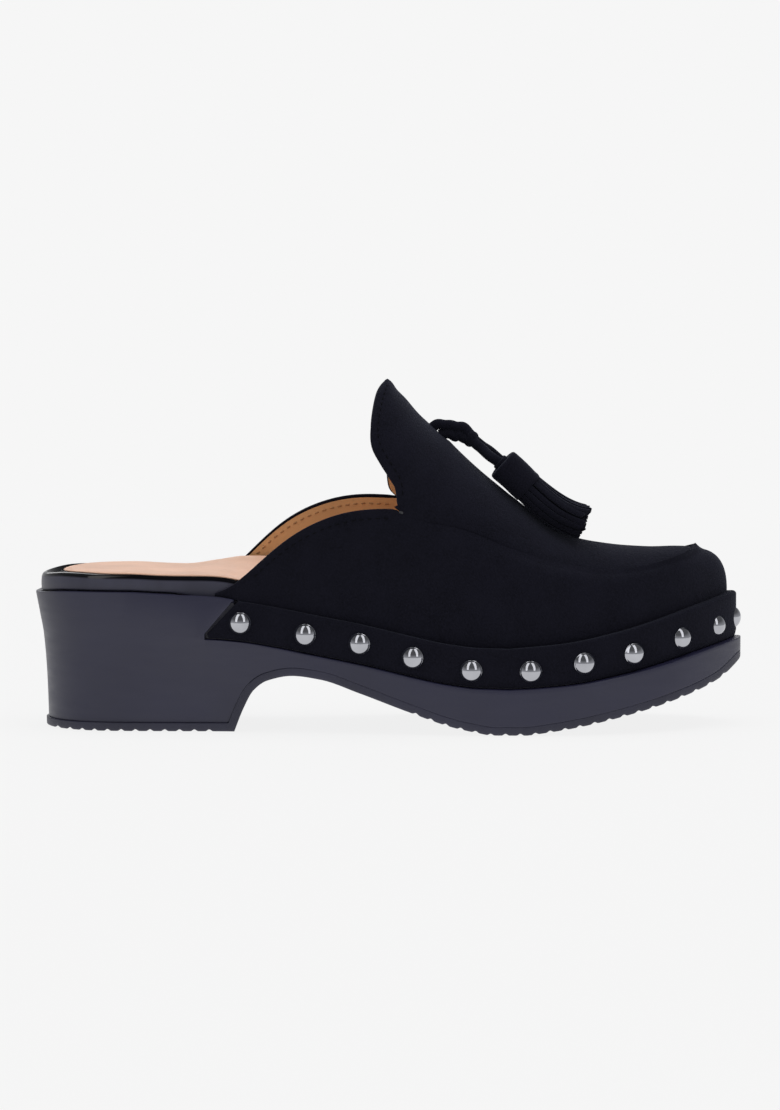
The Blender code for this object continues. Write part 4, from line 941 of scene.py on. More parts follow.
def shelled(outer, inner, roll=None):
    """Points and faces of a closed shell between two grids. roll adds rows over its edge and their bulge."""
    rows, columns = outer.shape[:2]
    points, number = [], {}
    for layer, grid in enumerate((outer, inner)):
        tip = np.allclose(grid[0], grid[0, 0])
        for r in range(rows):
            for c in range(columns):
                if r == 0 and tip and c > 0:
                    number[layer, r, c] = number[layer, 0, 0]
                    continue
                number[layer, r, c] = len(points)
                points.append(grid[r, c])
    faces = []
    for r in range(rows - 1):
        for c in range(columns - 1):
            for layer in (0, 1):
                faces.append([number[layer, *at] for at in ((r, c), (r, c + 1), (r + 1, c + 1), (r + 1, c))])
    rim = [(0, c) for c in range(columns)] + [(r, columns - 1) for r in range(1, rows)]
    rim += [(rows - 1, c) for c in range(columns - 2, -1, -1)] + [(r, 0) for r in range(rows - 2, 0, -1)]
    chains = []
    for at in rim:
        chain = [number[0, *at]]
        if roll is not None:
            a, b, bulge = outer[at], inner[at], roll(at)
            for t in (0.12, 0.35, 0.65, 0.88):
                chain.append(len(points))
                points.append(a + (b - a) * t + bulge * math.sin(math.pi * t) ** 0.7)
        chain.append(number[1, *at])
        chains.append(chain)
    for a, b in zip(chains, chains[1:] + chains[:1]):
        for k in range(len(a) - 1):
            faces.append([a[k], b[k], b[k + 1], a[k + 1]])
    tidy = []
    for face in faces:
        whole = [v for i, v in enumerate(face) if v != face[i - 1]]
        if len(set(whole)) > 2:
            tidy.append(whole)
    return points, tidy


GRIDS = {}


def upper_grids():
    """The upper's grids, worked out once: suede faces, and the places of edges and linings."""
    if not GRIDS:
        sizes = bpy.context.scene.clog_sizes
        outer, inner, apron, apron_in = make_grids()
        crease(outer, sizes.crease_depth)
        wing = len(outer_columns()[0])
        GRIDS.update(outer=outer, inner=inner, apron=apron, apron_in=apron_in, wing=wing)
    return GRIDS


def edge_share(count, wing):
    """For each vamp column, 1 on the open topline and 0 along the seam."""
    ramp = ease((wing + 1 - np.arange(count)) / 3)
    return np.maximum(ramp, ramp[::-1])


def make_upper(suede, tan):
    """Vamp and tongue in suede with rolled edges, each with its tan lining."""
    g = upper_grids()
    sizes = bpy.context.scene.clog_sizes
    outer, inner, apron, apron_in, wing = (g[k] for k in ("outer", "inner", "apron", "apron_in", "wing"))
    columns = len(outer)
    open_edge = edge_share(columns, wing)
    last = outer.shape[1] - 1
    roll_height = sizes.edge_roll

    def vamp_roll(at):
        c, r = at
        if r == last:
            return unit(outer[c, r] - outer[c, r - 2]) * roll_height * open_edge[c]
        if r > 0 and c in (0, columns - 1):
            return unit(outer[c, r] - outer[1 if c == 0 else -2, r]) * roll_height * 0.4
        return 0

    points, faces = shelled(outer, inner, vamp_roll)
    add_piece("vamp_suede", points, faces, suede, ["vamp"], sharp=55)

    def tongue_roll(at):
        r, c = at
        if r == len(apron) - 1:
            return unit(apron[r, c] - apron[r - 1, c]) * roll_height
        if r >= SEAM_COUNT:
            out = unit(apron[r, c] - apron[r, 1 if c == 0 else -2])
            return out * roll_height * ease((r - SEAM_COUNT + 1) / 4)
        return 0

    points, faces = shelled(apron, apron_in, tongue_roll)
    add_piece("tongue_suede", points, faces, suede, ["tongue"], sharp=55)
    make_linings(tan)


def make_linings(tan):
    """Thin tan skins on the inside of vamp and tongue, which stop short of the rolled edges."""
    g = upper_grids()
    sizes = bpy.context.scene.clog_sizes
    inner, outer, wing = g["inner"], g["outer"], g["wing"]
    j = BAND_ROWS
    into = unit(inner[:, j + 1 :] - outer[:, j + 1 :])
    open_edge = edge_share(len(inner), wing)
    drop = 0.5 * MM + (sizes.lining_drop - 0.5 * MM) * open_edge
    lift = 0.02 * MM
    near = cut_rows(inner[:, j + 1 :] + into * lift, drop, 26)[10:-10]
    far = cut_rows(inner[:, j + 1 :] + into * (lift + sizes.lining_thickness), drop, 26)[10:-10]
    points, faces = shelled(near, far)
    add_piece("vamp_lining", points, faces, tan, sharp=55)

    apron, apron_in = g["apron"], g["apron_in"]
    start = 6
    into = unit(apron_in - apron)
    grid = apron_in + into * lift
    drop = 0.25 * sizes.lining_drop
    kept = []
    for r in range(start, len(apron)):
        length = walk(grid[r])
        margin = 0.5 * MM if r < SEAM_COUNT else drop
        if length[-1] < 4 * margin:
            break
        at = np.linspace(margin, length[-1] - margin, 41)
        row, ways = points_at(grid[r], length, at), unit(points_at(into[r], length, at))
        kept.append((row, row + ways * sizes.lining_thickness))
    kept = kept[:-2]
    near, far = np.array([k[0] for k in kept]), np.array([k[1] for k in kept])
    points, faces = shelled(near, far)
    add_piece("tongue_lining", points, faces, tan, sharp=55)


# ---------------------------------------------------------------- stitches

def capsule(length, radius, around=6, rings=5):
    """Points along +X and faces of one thread stitch, round and tucked down at both ends."""
    points = []
    for i in range(rings):
        t = i / (rings - 1)
        x = (t - 0.5) * length
        r = radius * math.sqrt(max(0.0, 1 - (2 * t - 1) ** 4)) + radius * 0.12
        drop = radius * 1.1 * (2 * t - 1) ** 4
        for k in range(around):
            a = 2 * math.pi * k / around
            points.append((x, r * math.cos(a), r * math.sin(a) - drop))
    return np.array(points), loft(rings, around, ends=True)


def stitch_run(path, ways, sizes, thick=1.0):
    """Joined stitches along a path whose outward directions are ways."""
    length = walk(path)
    pitch = sizes.stitch_length + sizes.stitch_gap
    count = int(length[-1] // pitch)
    body, rim = capsule(sizes.stitch_length, sizes.thread_width / 2 * thick)
    points, faces = [], []
    for n in range(count):
        at = (n + 0.5) * pitch + (length[-1] - count * pitch) / 2
        here = points_at(path, length, at)
        up = unit(points_at(ways, length, at))
        x = unit(points_at(path, length, at + 0.4 * pitch) - points_at(path, length, at - 0.4 * pitch))
        up = unit(up - x * (up @ x))
        y = np.cross(up, x)
        lean = 0.10 * math.sin(n * 2.399)
        x, y = x * math.cos(lean) + y * math.sin(lean), y * math.cos(lean) - x * math.sin(lean)
        gather(points, faces, here + up * sizes.thread_width * 0.12 + body @ np.array([x, y, up]), rim)
    return points, faces


def along_edge(grid, distance):
    """A path at a distance before each column's last point."""
    out = []
    for column in grid:
        length = walk(column)
        out.append(points_at(column, length, max(length[-1] - distance, 0)))
    return np.array(out)


def make_stitches(tan_thread, black_thread, grey_thread):
    """Rows of stitches near the topline and tongue edge, inside and out, and the bar tacks at the notch."""
    g = upper_grids()
    sizes = bpy.context.scene.clog_sizes
    inner, outer, wing = g["inner"], g["outer"], g["wing"]
    j = BAND_ROWS
    near = sizes.stitch_inset
    skin = sizes.lining_thickness + 0.02 * MM
    into = unit(inner[:, j + 1 :] - outer[:, j + 1 :])
    inside = along_edge(inner[:, j + 1 :] + into * skin, near)
    outside = along_edge(outer[:, j + 1 :], near)
    ways = into[:, -3]
    parts = {"lining": [], "suede": []}
    for span in (slice(18, wing), slice(len(outer) - wing, len(outer) - 18)):
        parts["lining"].append(stitch_run(inside[span], ways[span], sizes))
        parts["suede"].append(stitch_run(outside[span], -ways[span], sizes, 0.6))
    apron, apron_in = g["apron"], g["apron_in"]
    into = unit(apron_in - apron)
    span = slice(SEAM_COUNT + 1, len(apron) - 7)
    for side in (0, -1):
        inside, outside, ways = [], [], []
        for r in range(span.start, span.stop):
            row, skin_row = apron[r], apron_in[r] + into[r] * skin
            for store, line in ((outside, row), (inside, skin_row)):
                length = walk(line)
                at = near if side == 0 else length[-1] - near
                store.append(points_at(line, length, at))
            ways.append(into[r, 4 if side == 0 else -5])
        inside, outside, ways = np.array(inside), np.array(outside), np.array(ways)
        parts["lining"].append(stitch_run(inside, ways, sizes))
        parts["suede"].append(stitch_run(outside, -ways, sizes, 0.6))
    for word, thread, slot in (("lining", tan_thread, "tan_leather"), ("suede", black_thread, "black_suede")):
        points, faces = [], []
        for run in parts[word]:
            gather(points, faces, *run)
        add_piece(f"stitches_{word}", points, faces, thread, sharp=80)
    make_bar_tacks(grey_thread)


def make_bar_tacks(grey_thread):
    """A short dense bar of thread where the tongue leaves the vamp on each side."""
    g = upper_grids()
    sizes = bpy.context.scene.clog_sizes
    outer, wing = g["outer"], g["wing"]
    for word, column, sign in (("outer", wing, 1), ("inner", len(outer) - 1 - wing, -1)):
        edge = outer[column, -1]
        below = outer[column, -6]
        x = unit(outer[column + 4 * sign, -1] - outer[column - 4 * sign, -1]) * sign
        down = unit(below - edge)
        up = unit(np.cross(x, down))
        up *= np.sign(up @ (0, -sign, 0.1))
        points, faces = [], []
        body, rim = capsule(0.9 * MM, sizes.thread_width * 0.42)
        for n in range(5):
            here = edge + down * 0.5 * MM + x * (sign * TACK_FORWARD + (n - 2) * sizes.thread_width * 0.4)
            gather(points, faces, here + up * 0.12 * MM + body @ np.array([down, x, up]), rim)
        add_piece(f"bar_tack_{word}", points, faces, grey_thread, sharp=80)


# ---------------------------------------------------------------- studs, thong and tassels

def turned(profile, segments):
    """Points and faces of a turned form along +Z from (radius, height) rows."""
    points, faces, levels = [], [], []
    for radius, height in profile:
        if radius <= 0:
            levels.append([len(points)])
            points.append((0, 0, height))
            continue
        levels.append(list(range(len(points), len(points) + segments)))
        for s in range(segments):
            angle = 2 * math.pi * s / segments
            points.append((radius * math.cos(angle), radius * math.sin(angle), height))
    for a, b in zip(levels, levels[1:]):
        a_round, b_round = (a + a[:1] if len(a) > 1 else a), (b + b[:1] if len(b) > 1 else b)
        faces += strip(a_round, b_round)
    for end in (levels[0], levels[-1]):
        if len(end) > 1:
            faces.append(tuple(end))
    return np.array(points, float), faces


def turn_to(direction, across=(0, 0, 1)):
    """Rows are the world directions of a local X, Y and Z whose Z runs along direction."""
    z = Vector(direction).normalized()
    x = Vector(across)
    x = (x - z * x.dot(z)).normalized()
    return np.array([x, z.cross(x), z])


def band_points(side, share, rise):
    """Point on the band's face and outward direction at a share of the way from breast to toe tip."""
    x = np.linspace(HEEL_BLOCK_LENGTH, SHOE_LENGTH, 400)
    plan, inward = outline_at(side, x)
    face = plan + inward * band_inset(x)[:, None]
    length = walk(face)
    place = np.interp(share * length[-1], length, np.arange(len(x)))
    values = np.column_stack([x, face, inward])
    station, px, py, nx, ny = (np.interp(place, np.arange(len(x)), c) for c in values.T)
    z = band_low(np.array([station]))[0] + STUD_RISE * rise
    return np.array([px, py, z]), unit(np.array([-nx, -ny, 0]))


def make_studs(nickel):
    """Domed nail heads with a rolled foot, one for each packed stud."""
    radius = STUD_DIAMETER / 2 * STUD_SPREAD
    ball = (radius**2 + STUD_DOME**2) / (2 * STUD_DOME)
    widest = math.asin(radius / ball)
    foot = ((0.90, -0.12), (0.985, -0.1), (1, 0.05), (0.995, 0.2))
    profile = [(radius * share, height * MM) for share, height in foot]
    for a in np.linspace(widest, 0, 15)[1:-1]:
        profile.append((ball * math.sin(a), ball * math.cos(a) - ball + STUD_DOME))
    profile.append((0, STUD_DOME))
    body, faces = turned(profile, 36)
    places = [("outer", *row) for row in STUDS]
    places += [("inner", *row) for row in ((1.0, 1), *STUDS[::-1])]
    for n, (side, share, rise) in enumerate(places):
        place, away = band_points(side, share, rise)
        if share == 1.0:
            place, away = place - (0, TOE_STUD_SHIFT, 0), unit(np.array(TOE_STUD_AIM))
        points = place + away * GAP * 0.5 + body @ turn_to(away)
        add_piece(f"nail_head_{n + 1:02d}", points, faces, nickel, [f"stud_{n + 1:02d}"], sharp=50)


def above_crown(station, height, side=0.0):
    x = station * SHOE_LENGTH
    return np.array([x, side, crown_height(np.array([x]))[0] + height])


def tassel_frame(side):
    lean = 1 - 0.035 * side
    top = above_crown(TASSEL_TOP_STATION, TASSEL_TOP_HEIGHT * lean, side * TASSEL_SPACING * 0.46)
    end = above_crown(TASSEL_END_STATION, TASSEL_END_HEIGHT / lean, side * TASSEL_SPACING * 0.56)
    return top, unit(end - top)


def smooth_path(route, step):
    route = np.array(route, float)
    knots = walk(route)
    return spline(knots, route, np.linspace(0, knots[-1], max(6, int(knots[-1] / step))))


def swept(path, profile):
    """Points and faces of a closed profile of (across, up) rows swept along a path."""
    ahead = unit(np.gradient(path, axis=0))
    points = []
    side = np.array([0.0, 1.0, 0.0])
    for p, t in zip(path, ahead):
        side = unit(side - t * (side @ t))
        up = np.cross(t, side)
        points += [p + side * a + up * b for a, b in profile]
    return points, loft(len(path), len(profile), ends=True)


def thong_profile(width, thickness, around=20):
    """A rolled thong's section, a little flat, with a shallow groove where its edges meet."""
    rows = []
    for k in range(around):
        a = 2 * math.pi * k / around
        r = 1 - 0.06 * math.exp(-((a - 1.5 * math.pi) / 0.28) ** 2)
        rows.append((width / 2 * math.cos(a) * r, thickness / 2 * math.sin(a) * r))
    return rows


def thong_routes():
    """Centre lines from the tongue to the tassels: over the loop to the outer, under it to the inner."""
    loop = [above_crown(s, h * THONG_DIAMETER) for s, h in LOOP_ROUTE]
    low = [above_crown(s, h * THONG_DIAMETER) for s, h in LOW_ROUTE]
    place = above_crown(KNOT_STATION, KNOT_HEIGHT * THONG_DIAMETER)
    aim = unit(tassel_frame(0)[0] - place)
    half = KNOT_WIDTH / 2
    back = place - aim * (half * 0.72 + 2 * GAP)
    up = np.array([-aim[2], 0, aim[0]]) * (THONG_DIAMETER - LOOP_SLACK) / 2
    straight = aim * THONG_DIAMETER * 0.3
    routes = {}
    for word, side, start, sign in (("outer", -1, loop, 1), ("inner", 1, low, -1)):
        top, along = tassel_frame(side)
        out = place + aim * (half * 0.72 + GAP) + (0, side * THONG_DIAMETER * 0.56, 0)
        out[2] += side * TAIL_SPLIT * 0.35
        end = top - along * 0.5 * GAP + (0, 0, side * TAIL_SPLIT / 2)
        middle = (out + end) / 2 + (0, side * THONG_DIAMETER * 0.15, side * TAIL_SPLIT * 0.25)
        head = start + [back + sign * up - straight, back + sign * up]
        heart = place + sign * up * 0.45 + np.array([0, side * THONG_DIAMETER * 0.25, 0])
        tail = [out, out + aim * THONG_DIAMETER * 0.5, middle, end - along * THONG_DIAMETER * 0.3, end]
        routes[word] = (head, heart, tail)
    return place, aim, routes


def make_thong(suede):
    """The thong's knot and its two strands, which are returned with their centre lines."""
    sizes = bpy.context.scene.clog_sizes
    place, aim, routes = thong_routes()
    strands = {}
    for word, (head, heart, tail) in routes.items():
        path = smooth_path(np.array(head + [heart] + tail), 0.35 * MM)
        first = unit(path[1] - path[0])
        path = np.vstack([path[0] - first * sizes.thong_sunk, path])
        profile = thong_profile(THONG_WIDTH, THONG_WIDTH * sizes.thong_flatness)
        points, faces = swept(path, profile)
        nodes = ["thong_loop", "thong_tail_outer"] if word == "outer" else ["thong_root", "thong_tail_inner"]
        strand = add_piece(f"thong_strand_{word}", points, faces, suede, nodes, sharp=60)
        strands[word] = (strand, path + SHIFT)
    turns = []
    size = KNOT_WIDTH / 2
    for t in np.linspace(0, 2 * math.pi, 97)[:-1]:
        across = math.sin(t) + 1.55 * math.sin(2 * t)
        along = math.cos(t) - 1.55 * math.cos(2 * t)
        turns.append((along * size * 0.19, across * size * 0.25, -math.sin(3 * t) * size * 0.40))
    frame_rows = turn_to(aim, (0, 1, 0))
    basis = np.array([frame_rows[2], frame_rows[0], np.cross(frame_rows[2], frame_rows[0])])
    path = place + np.array(turns) @ basis
    profile = thong_profile(THONG_WIDTH * 0.9, THONG_WIDTH * 0.78, 16)
    ahead = unit(np.roll(path, -1, axis=0) - np.roll(path, 1, axis=0))
    points = []
    for p, t in zip(path, ahead):
        out = unit(p - place)
        side = unit(np.cross(t, out))
        up = np.cross(side, t)
        points += [p + side * a + up * b for a, b in profile]
    faces = [tuple(v % len(points) for v in face) for face in loft(len(path) + 1, len(profile))]
    add_piece("thong_knot_wraps", points, faces, suede, ["thong_knot"], sharp=60)
    return strands


def make_tassels(suede):
    """Rolled caps and skirts of separate suede strips, each strip a little different."""
    made = {}
    for side, word in ((-1, "outer"), (1, "inner")):
        top, along = tassel_frame(side)
        basis = turn_to(along)
        made[word] = (make_cap(word, top, basis, suede), make_fringe(word, top, along, basis, side, suede))
    return made


def make_cap(word, top, basis, suede):
    """A strip rolled round the tassel's head, with its end lapping over and a turned top edge."""
    start, end = TASSEL_TOP_WIDTH / 2 * 1.10, TASSEL_CAP_WIDTH / 2
    length = TASSEL_CAP_LENGTH
    around = 72
    collar = (
        (0.30, -1.5), (0.44, -1.4), (0.50, -1.0), (0.50, -0.2),
        (0.78, -0.1), (0.92, 0.1), (0.985, 0.5), (1, 1.2),
    )
    body = ((0.22, 0.30), (0.5, 0.5), (0.75, 0.7))
    hem = ((0.995, 0.86), (1, 0.93), (0.99, 0.975), (0.955, 1), (0.80, 0.99), (0.3, 0.97))
    rows = [(start * share, height * MM) for share, height in collar]
    rows += [(start + (end - start) * share, height * length) for share, height in body]
    rows += [(end * share, height * length) for share, height in hem]
    points = []
    for i, (radius, height) in enumerate(rows):
        lap = ease((i - 4) / 3) * ease((len(rows) - 2 - i) / 1.5)
        for s in range(around):
            a = 2 * math.pi * s / around
            turn = (a / (2 * math.pi) + 0.36) % 1
            edge = 0.062 * (1 - turn) * lap * (1 if turn > 0.02 else turn / 0.02)
            soft = 1 + 0.012 * math.sin(3 * a + height * 400) + 0.008 * math.sin(5 * a - height * 700)
            r = radius * (0.965 + edge) * soft
            points.append((r * math.cos(a), r * math.sin(a), height))
    faces = loft(len(rows), around)
    for i, height in ((0, rows[0][1]), (len(rows) - 1, rows[-1][1])):
        points.append((0, 0, height))
        base = i * around
        for s in range(around):
            faces.append((len(points) - 1, base + s, base + (s + 1) % around))
    points = top + np.array(points) @ basis
    node = f"tassel_cap_{word}"
    return add_piece(f"tassel_wrap_{word}", points, faces, suede, [node], sharp=55)


def make_fringe(word, top, along, basis, side, suede):
    """Three rings of cut strips that spread sideways, flatten and bend down onto the apron."""
    sizes = bpy.context.scene.clog_sizes
    length = TASSEL_LENGTH - TASSEL_CAP_LENGTH - GAP
    origin = top + along * (TASSEL_CAP_LENGTH + GAP)
    start = TASSEL_CAP_WIDTH / 2 * 0.93
    rng = np.random.default_rng(7 + side)
    points, faces = [], []
    steps = 13
    ring_order = [0, 1, 2, 3, 4, 9, 8, 7, 6, 5]
    rings = ((1.0, sizes.strip_count, 0.0), (0.70, sizes.strip_count - 3, 0.5), (0.36, 6, 0.3))
    for ring, (scale, total, back) in enumerate(rings):
        for n in range(total):
            middle = 2 * math.pi * (n + back) / total + rng.uniform(-0.04, 0.04)
            half = math.pi / total * (0.90 if ring == 0 else 1.0)
            reach = length * (1.0 - (0.03 if ring else 0.0)) - rng.uniform(-0.3, 1.9) * FRINGE_STEP
            sway = rng.uniform(-0.10, 0.10)
            bow = rng.uniform(-0.02, 0.035)
            cant = rng.uniform(-0.9, 0.9) * MM
            thick = sizes.strip_thickness * rng.uniform(0.9, 1.1)
            base = len(points)
            for i in range(steps):
                t = i / (steps - 1)
                wide_r = (start + (TASSEL_END_WIDTH / 2 - start) * t) * scale
                thick_r = (start + (TASSEL_END_THICKNESS / 2 - start) * ease(t)) * scale
                bend = 1 + bow * math.sin(math.pi * t) * (1 + scale)
                turn = middle + sway * t * t
                for layer in (0, 1):
                    for k in range(5):
                        w = (k - 2) / 2
                        a = turn + half * w * (0.94 - 0.06 * t)
                        tuck = 0.0 if layer == 0 else thick
                        curl = 0.18 * MM * (1 - w * w) * (1 if layer == 0 else 0.6)
                        tx = (thick_r * bend - tuck - 0.25 * MM) * math.cos(a) + curl * math.cos(a)
                        ty = (wide_r * bend - tuck - 0.25 * MM) * math.sin(a) + curl * math.sin(a)
                        z = reach * t + cant * w * t ** 4 - 0.4 * MM * (1 - t)
                        tilt = 3 * TASSEL_BEND / length * (z / length) ** 2
                        lag = tilt * max(tx, 0.35 * tx)
                        points.append((tx + TASSEL_BEND * (z / length) ** 3, ty, z - lag))
            for i in range(steps - 1):
                a = [base + i * 10 + v for v in ring_order]
                b = [base + (i + 1) * 10 + v for v in ring_order]
                for k in range(10):
                    m = (k + 1) % 10
                    faces.append((a[k], a[m], b[m], b[k]))
            for i in (0, steps - 1):
                o = base + i * 10
                for k in range(4):
                    faces.append((o + k, o + k + 1, o + 6 + k, o + 5 + k))
    points = origin + np.array(points) @ basis
    node = f"tassel_fringe_{word}"
    return add_piece(f"tassel_strips_{word}", points, faces, suede, [node], sharp=50)


# ---------------------------------------------------------------- finishes

RANGE_INPUTS = ("From Min", "From Max", "To Min", "To Max")


class Finish:
    """A node material built in steps from the object's own coordinates."""

    def __init__(self, name):
        self.material = bpy.data.materials.new(name)
        self.material.use_nodes = True
        self.nodes = self.material.node_tree.nodes
        self.links = self.material.node_tree.links
        self.shader = self.nodes["Principled BSDF"]
        self.place = self.nodes.new("ShaderNodeTexCoord").outputs["Object"]

    def set(self, **values):
        for name, value in values.items():
            self.shader.inputs[name.replace("_", " ")].default_value = value

    def link(self, a, b):
        self.links.new(a, b)

    def stretched(self, scale):
        node = self.nodes.new("ShaderNodeMapping")
        node.inputs["Scale"].default_value = scale
        self.link(self.place, node.inputs["Vector"])
        return node.outputs["Vector"]

    def noise(self, scale, detail=3.0, rough=0.5, vector=None, distort=0.0):
        node = self.nodes.new("ShaderNodeTexNoise")
        node.inputs["Scale"].default_value = scale
        node.inputs["Detail"].default_value = detail
        node.inputs["Roughness"].default_value = rough
        node.inputs["Distortion"].default_value = distort
        self.link(vector or self.place, node.inputs["Vector"])
        return node.outputs["Fac"]

    def cells(self, scale):
        node = self.nodes.new("ShaderNodeTexVoronoi")
        node.inputs["Scale"].default_value = scale
        self.link(self.place, node.inputs["Vector"])
        return node.outputs["Distance"]

    def part(self, vector, axis):
        node = self.nodes.new("ShaderNodeSeparateXYZ")
        self.link(vector, node.inputs[0])
        return node.outputs[axis]

    def ramp(self, value, low, high, out_low=0.0, out_high=1.0):
        node = self.nodes.new("ShaderNodeMapRange")
        for name, v in zip(RANGE_INPUTS, (low, high, out_low, out_high)):
            node.inputs[name].default_value = v
        self.link(value, node.inputs["Value"])
        return node.outputs["Result"]

    def product(self, a, b):
        node = self.nodes.new("ShaderNodeMath")
        node.operation = "MULTIPLY"
        self.link(a, node.inputs[0])
        self.link(b, node.inputs[1])
        return node.outputs["Value"]

    def colours(self, share, first, second):
        node = self.nodes.new("ShaderNodeMix")
        node.data_type = "RGBA"
        self.link(share, node.inputs["Factor"])
        for socket, colour in zip(node.inputs[6:8], (first, second)):
            if hasattr(colour, "links"):
                self.link(colour, socket)
            else:
                socket.default_value = colour
        return node.outputs[2]

    def colour(self, value):
        self.link(value, self.shader.inputs["Base Color"])

    def roughness(self, value):
        self.link(value, self.shader.inputs["Roughness"])

    def bump(self, value, depth, strength=1.0):
        node = self.nodes.new("ShaderNodeBump")
        node.inputs["Distance"].default_value = depth
        node.inputs["Strength"].default_value = strength
        self.link(value, node.inputs["Height"])
        if self.shader.inputs["Normal"].links:
            self.link(self.shader.inputs["Normal"].links[0].from_socket, node.inputs["Normal"])
        self.link(node.outputs["Normal"], self.shader.inputs["Normal"])


def tone(colour, factor):
    return tuple(min(1.0, c * factor) for c in colour[:3]) + (1.0,)


def suede_finish(colours):
    """Dark brushed suede: short nap in soft patches, fine fibres, a faint cool sheen."""
    f = Finish("black_suede_nap")
    f.set(Roughness=0.96, Sheen_Weight=0.07, Sheen_Roughness=0.45, Sheen_Tint=(0.7, 0.75, 1.0, 1))
    f.set(Specular_IOR_Level=0.09)
    patches = f.noise(95, 4, 0.55)
    fibres = f.noise(1900, 3, 0.6, f.stretched((1, 0.55, 0.8)))
    base = tuple(colours.suede) + (1,)
    broad = f.colours(f.ramp(patches, 0.35, 0.68), tone(base, 0.72), tone(base, 1.3))
    f.colour(f.colours(f.ramp(fibres, 0.3, 0.72), broad, tone(base, 1.75)))
    f.bump(fibres, 0.00022, 0.75)
    f.bump(patches, 0.0004, 0.35)
    f.bump(f.noise(620, 2, 0.5), 0.00018, 0.5)
    return f.material


def platform_finish(colours):
    """Smooth satin platform skin with a very fine grain and faint handling marks."""
    f = Finish("platform_satin")
    f.set(Specular_IOR_Level=0.5, Coat_Weight=0.12, Coat_Roughness=0.3)
    cloud = f.noise(28, 3, 0.5)
    rub = f.noise(260, 4, 0.6, f.stretched((0.25, 0.25, 1.4)))
    base = tuple(colours.platform) + (1,)
    f.colour(f.colours(f.ramp(cloud, 0.3, 0.7), tone(base, 0.88), tone(base, 1.12)))
    f.roughness(f.ramp(rub, 0.3, 0.75, 0.40, 0.52))
    f.bump(f.noise(1500, 2, 0.5), 0.00004, 0.35)
    f.bump(cloud, 0.0006, 0.10)
    return f.material


def rubber_finish(colours):
    """Outsole rubber: matt and finely pitted, its tone changing in soft patches."""
    f = Finish("sole_rubber_matt")
    f.set(Specular_IOR_Level=0.5)
    pits = f.noise(1400, 3, 0.6)
    cloud = f.noise(60, 3, 0.5)
    base = tuple(colours.rubber) + (1,)
    f.colour(f.colours(f.ramp(cloud, 0.35, 0.7), tone(base, 0.85), tone(base, 1.2)))
    f.roughness(f.ramp(pits, 0.3, 0.7, 0.44, 0.58))
    f.bump(pits, 0.00007, 0.5)
    return f.material


def rim_finish(colours):
    """Footbed wrap: grey on its face, with painted shade (a near-black colour) where it faces up and turns in
    under the sock, and lacquered there round the heel.
    """
    f = Finish("glossy_wrap")
    f.set(Roughness=0.4, Specular_IOR_Level=0.3, Coat_Roughness=0.04)
    cloud = f.noise(120, 3, 0.5, f.stretched((1, 1, 0.25)))
    base = tuple(colours.rim) + (1,)
    face = f.colours(f.ramp(cloud, 0.3, 0.7), tone(base, 0.9), tone(base, 1.1))
    f.bump(cloud, 0.0005, 0.08)
    facing = f.nodes.new("ShaderNodeNewGeometry").outputs["Normal"]
    up_facing_shade_and_gloss = f.ramp(f.part(facing, "Z"), 0.1, 0.35)
    # painted shade: surfaces that face up are coloured near-black, standing in for the shade under the sock's
    # edge
    f.colour(f.colours(up_facing_shade_and_gloss, face, tone(base, 0.06)))
    at_heel = f.ramp(f.part(f.place, "X"), -0.101, -0.092, 0.9, 0.0)
    f.link(f.product(up_facing_shade_and_gloss, at_heel), f.shader.inputs["Coat Weight"])
    f.link(f.ramp(up_facing_shade_and_gloss, 0, 1, 0.3, 0.03), f.shader.inputs["Specular IOR Level"])
    return f.material


def tan_finish(name, base, depth):
    """Tan leather with pores, fine wrinkles and slow changes of tone."""
    f = Finish(name)
    f.set(Specular_IOR_Level=0.35, Sheen_Weight=0.05)
    grain = f.cells(1100)
    wrinkle = f.noise(420, 4, 0.6, distort=0.6)
    cloud = f.noise(42, 4, 0.55)
    pores = f.noise(2300, 2, 0.5)
    base = tuple(base) + (1,)
    broad = f.colours(f.ramp(cloud, 0.32, 0.7), tone(base, 0.86), tone(base, 1.08))
    f.colour(f.colours(f.ramp(pores, 0.62, 0.78, 0, 0.55), broad, tone(base, 0.62)))
    f.roughness(f.ramp(wrinkle, 0.3, 0.7, 0.48, 0.66))
    f.bump(grain, depth, 0.35)
    f.bump(wrinkle, depth * 1.5, 0.4)
    return f.material


def nickel_finish(colours):
    """Polished nickel with a faint brushed bloom and tiny marks."""
    f = Finish("polished_nickel")
    f.set(Metallic=1.0)
    marks = f.noise(900, 4, 0.65)
    bloom = f.noise(150, 2, 0.5)
    base = tuple(colours.nickel) + (1,)
    f.colour(f.colours(f.ramp(bloom, 0.3, 0.7), tone(base, 0.92), tone(base, 1.06)))
    f.roughness(f.ramp(marks, 0.35, 0.75, 0.06, 0.12))
    f.bump(marks, 0.00002, 0.12)
    return f.material


def thread_finish(name, base, shine=1.0):
    """Twisted sewing thread."""
    f = Finish(name)
    f.set(Roughness=0.8, Sheen_Weight=0.1 * shine, Specular_IOR_Level=0.25 * shine)
    twist = f.noise(2600, 2, 0.5)
    base = tuple(base) + (1,)
    f.colour(f.colours(f.ramp(twist, 0.3, 0.7), tone(base, 0.7), tone(base, 1.2)))
    f.bump(twist, 0.00008, 0.6)
    return f.material


LOOKS = {}


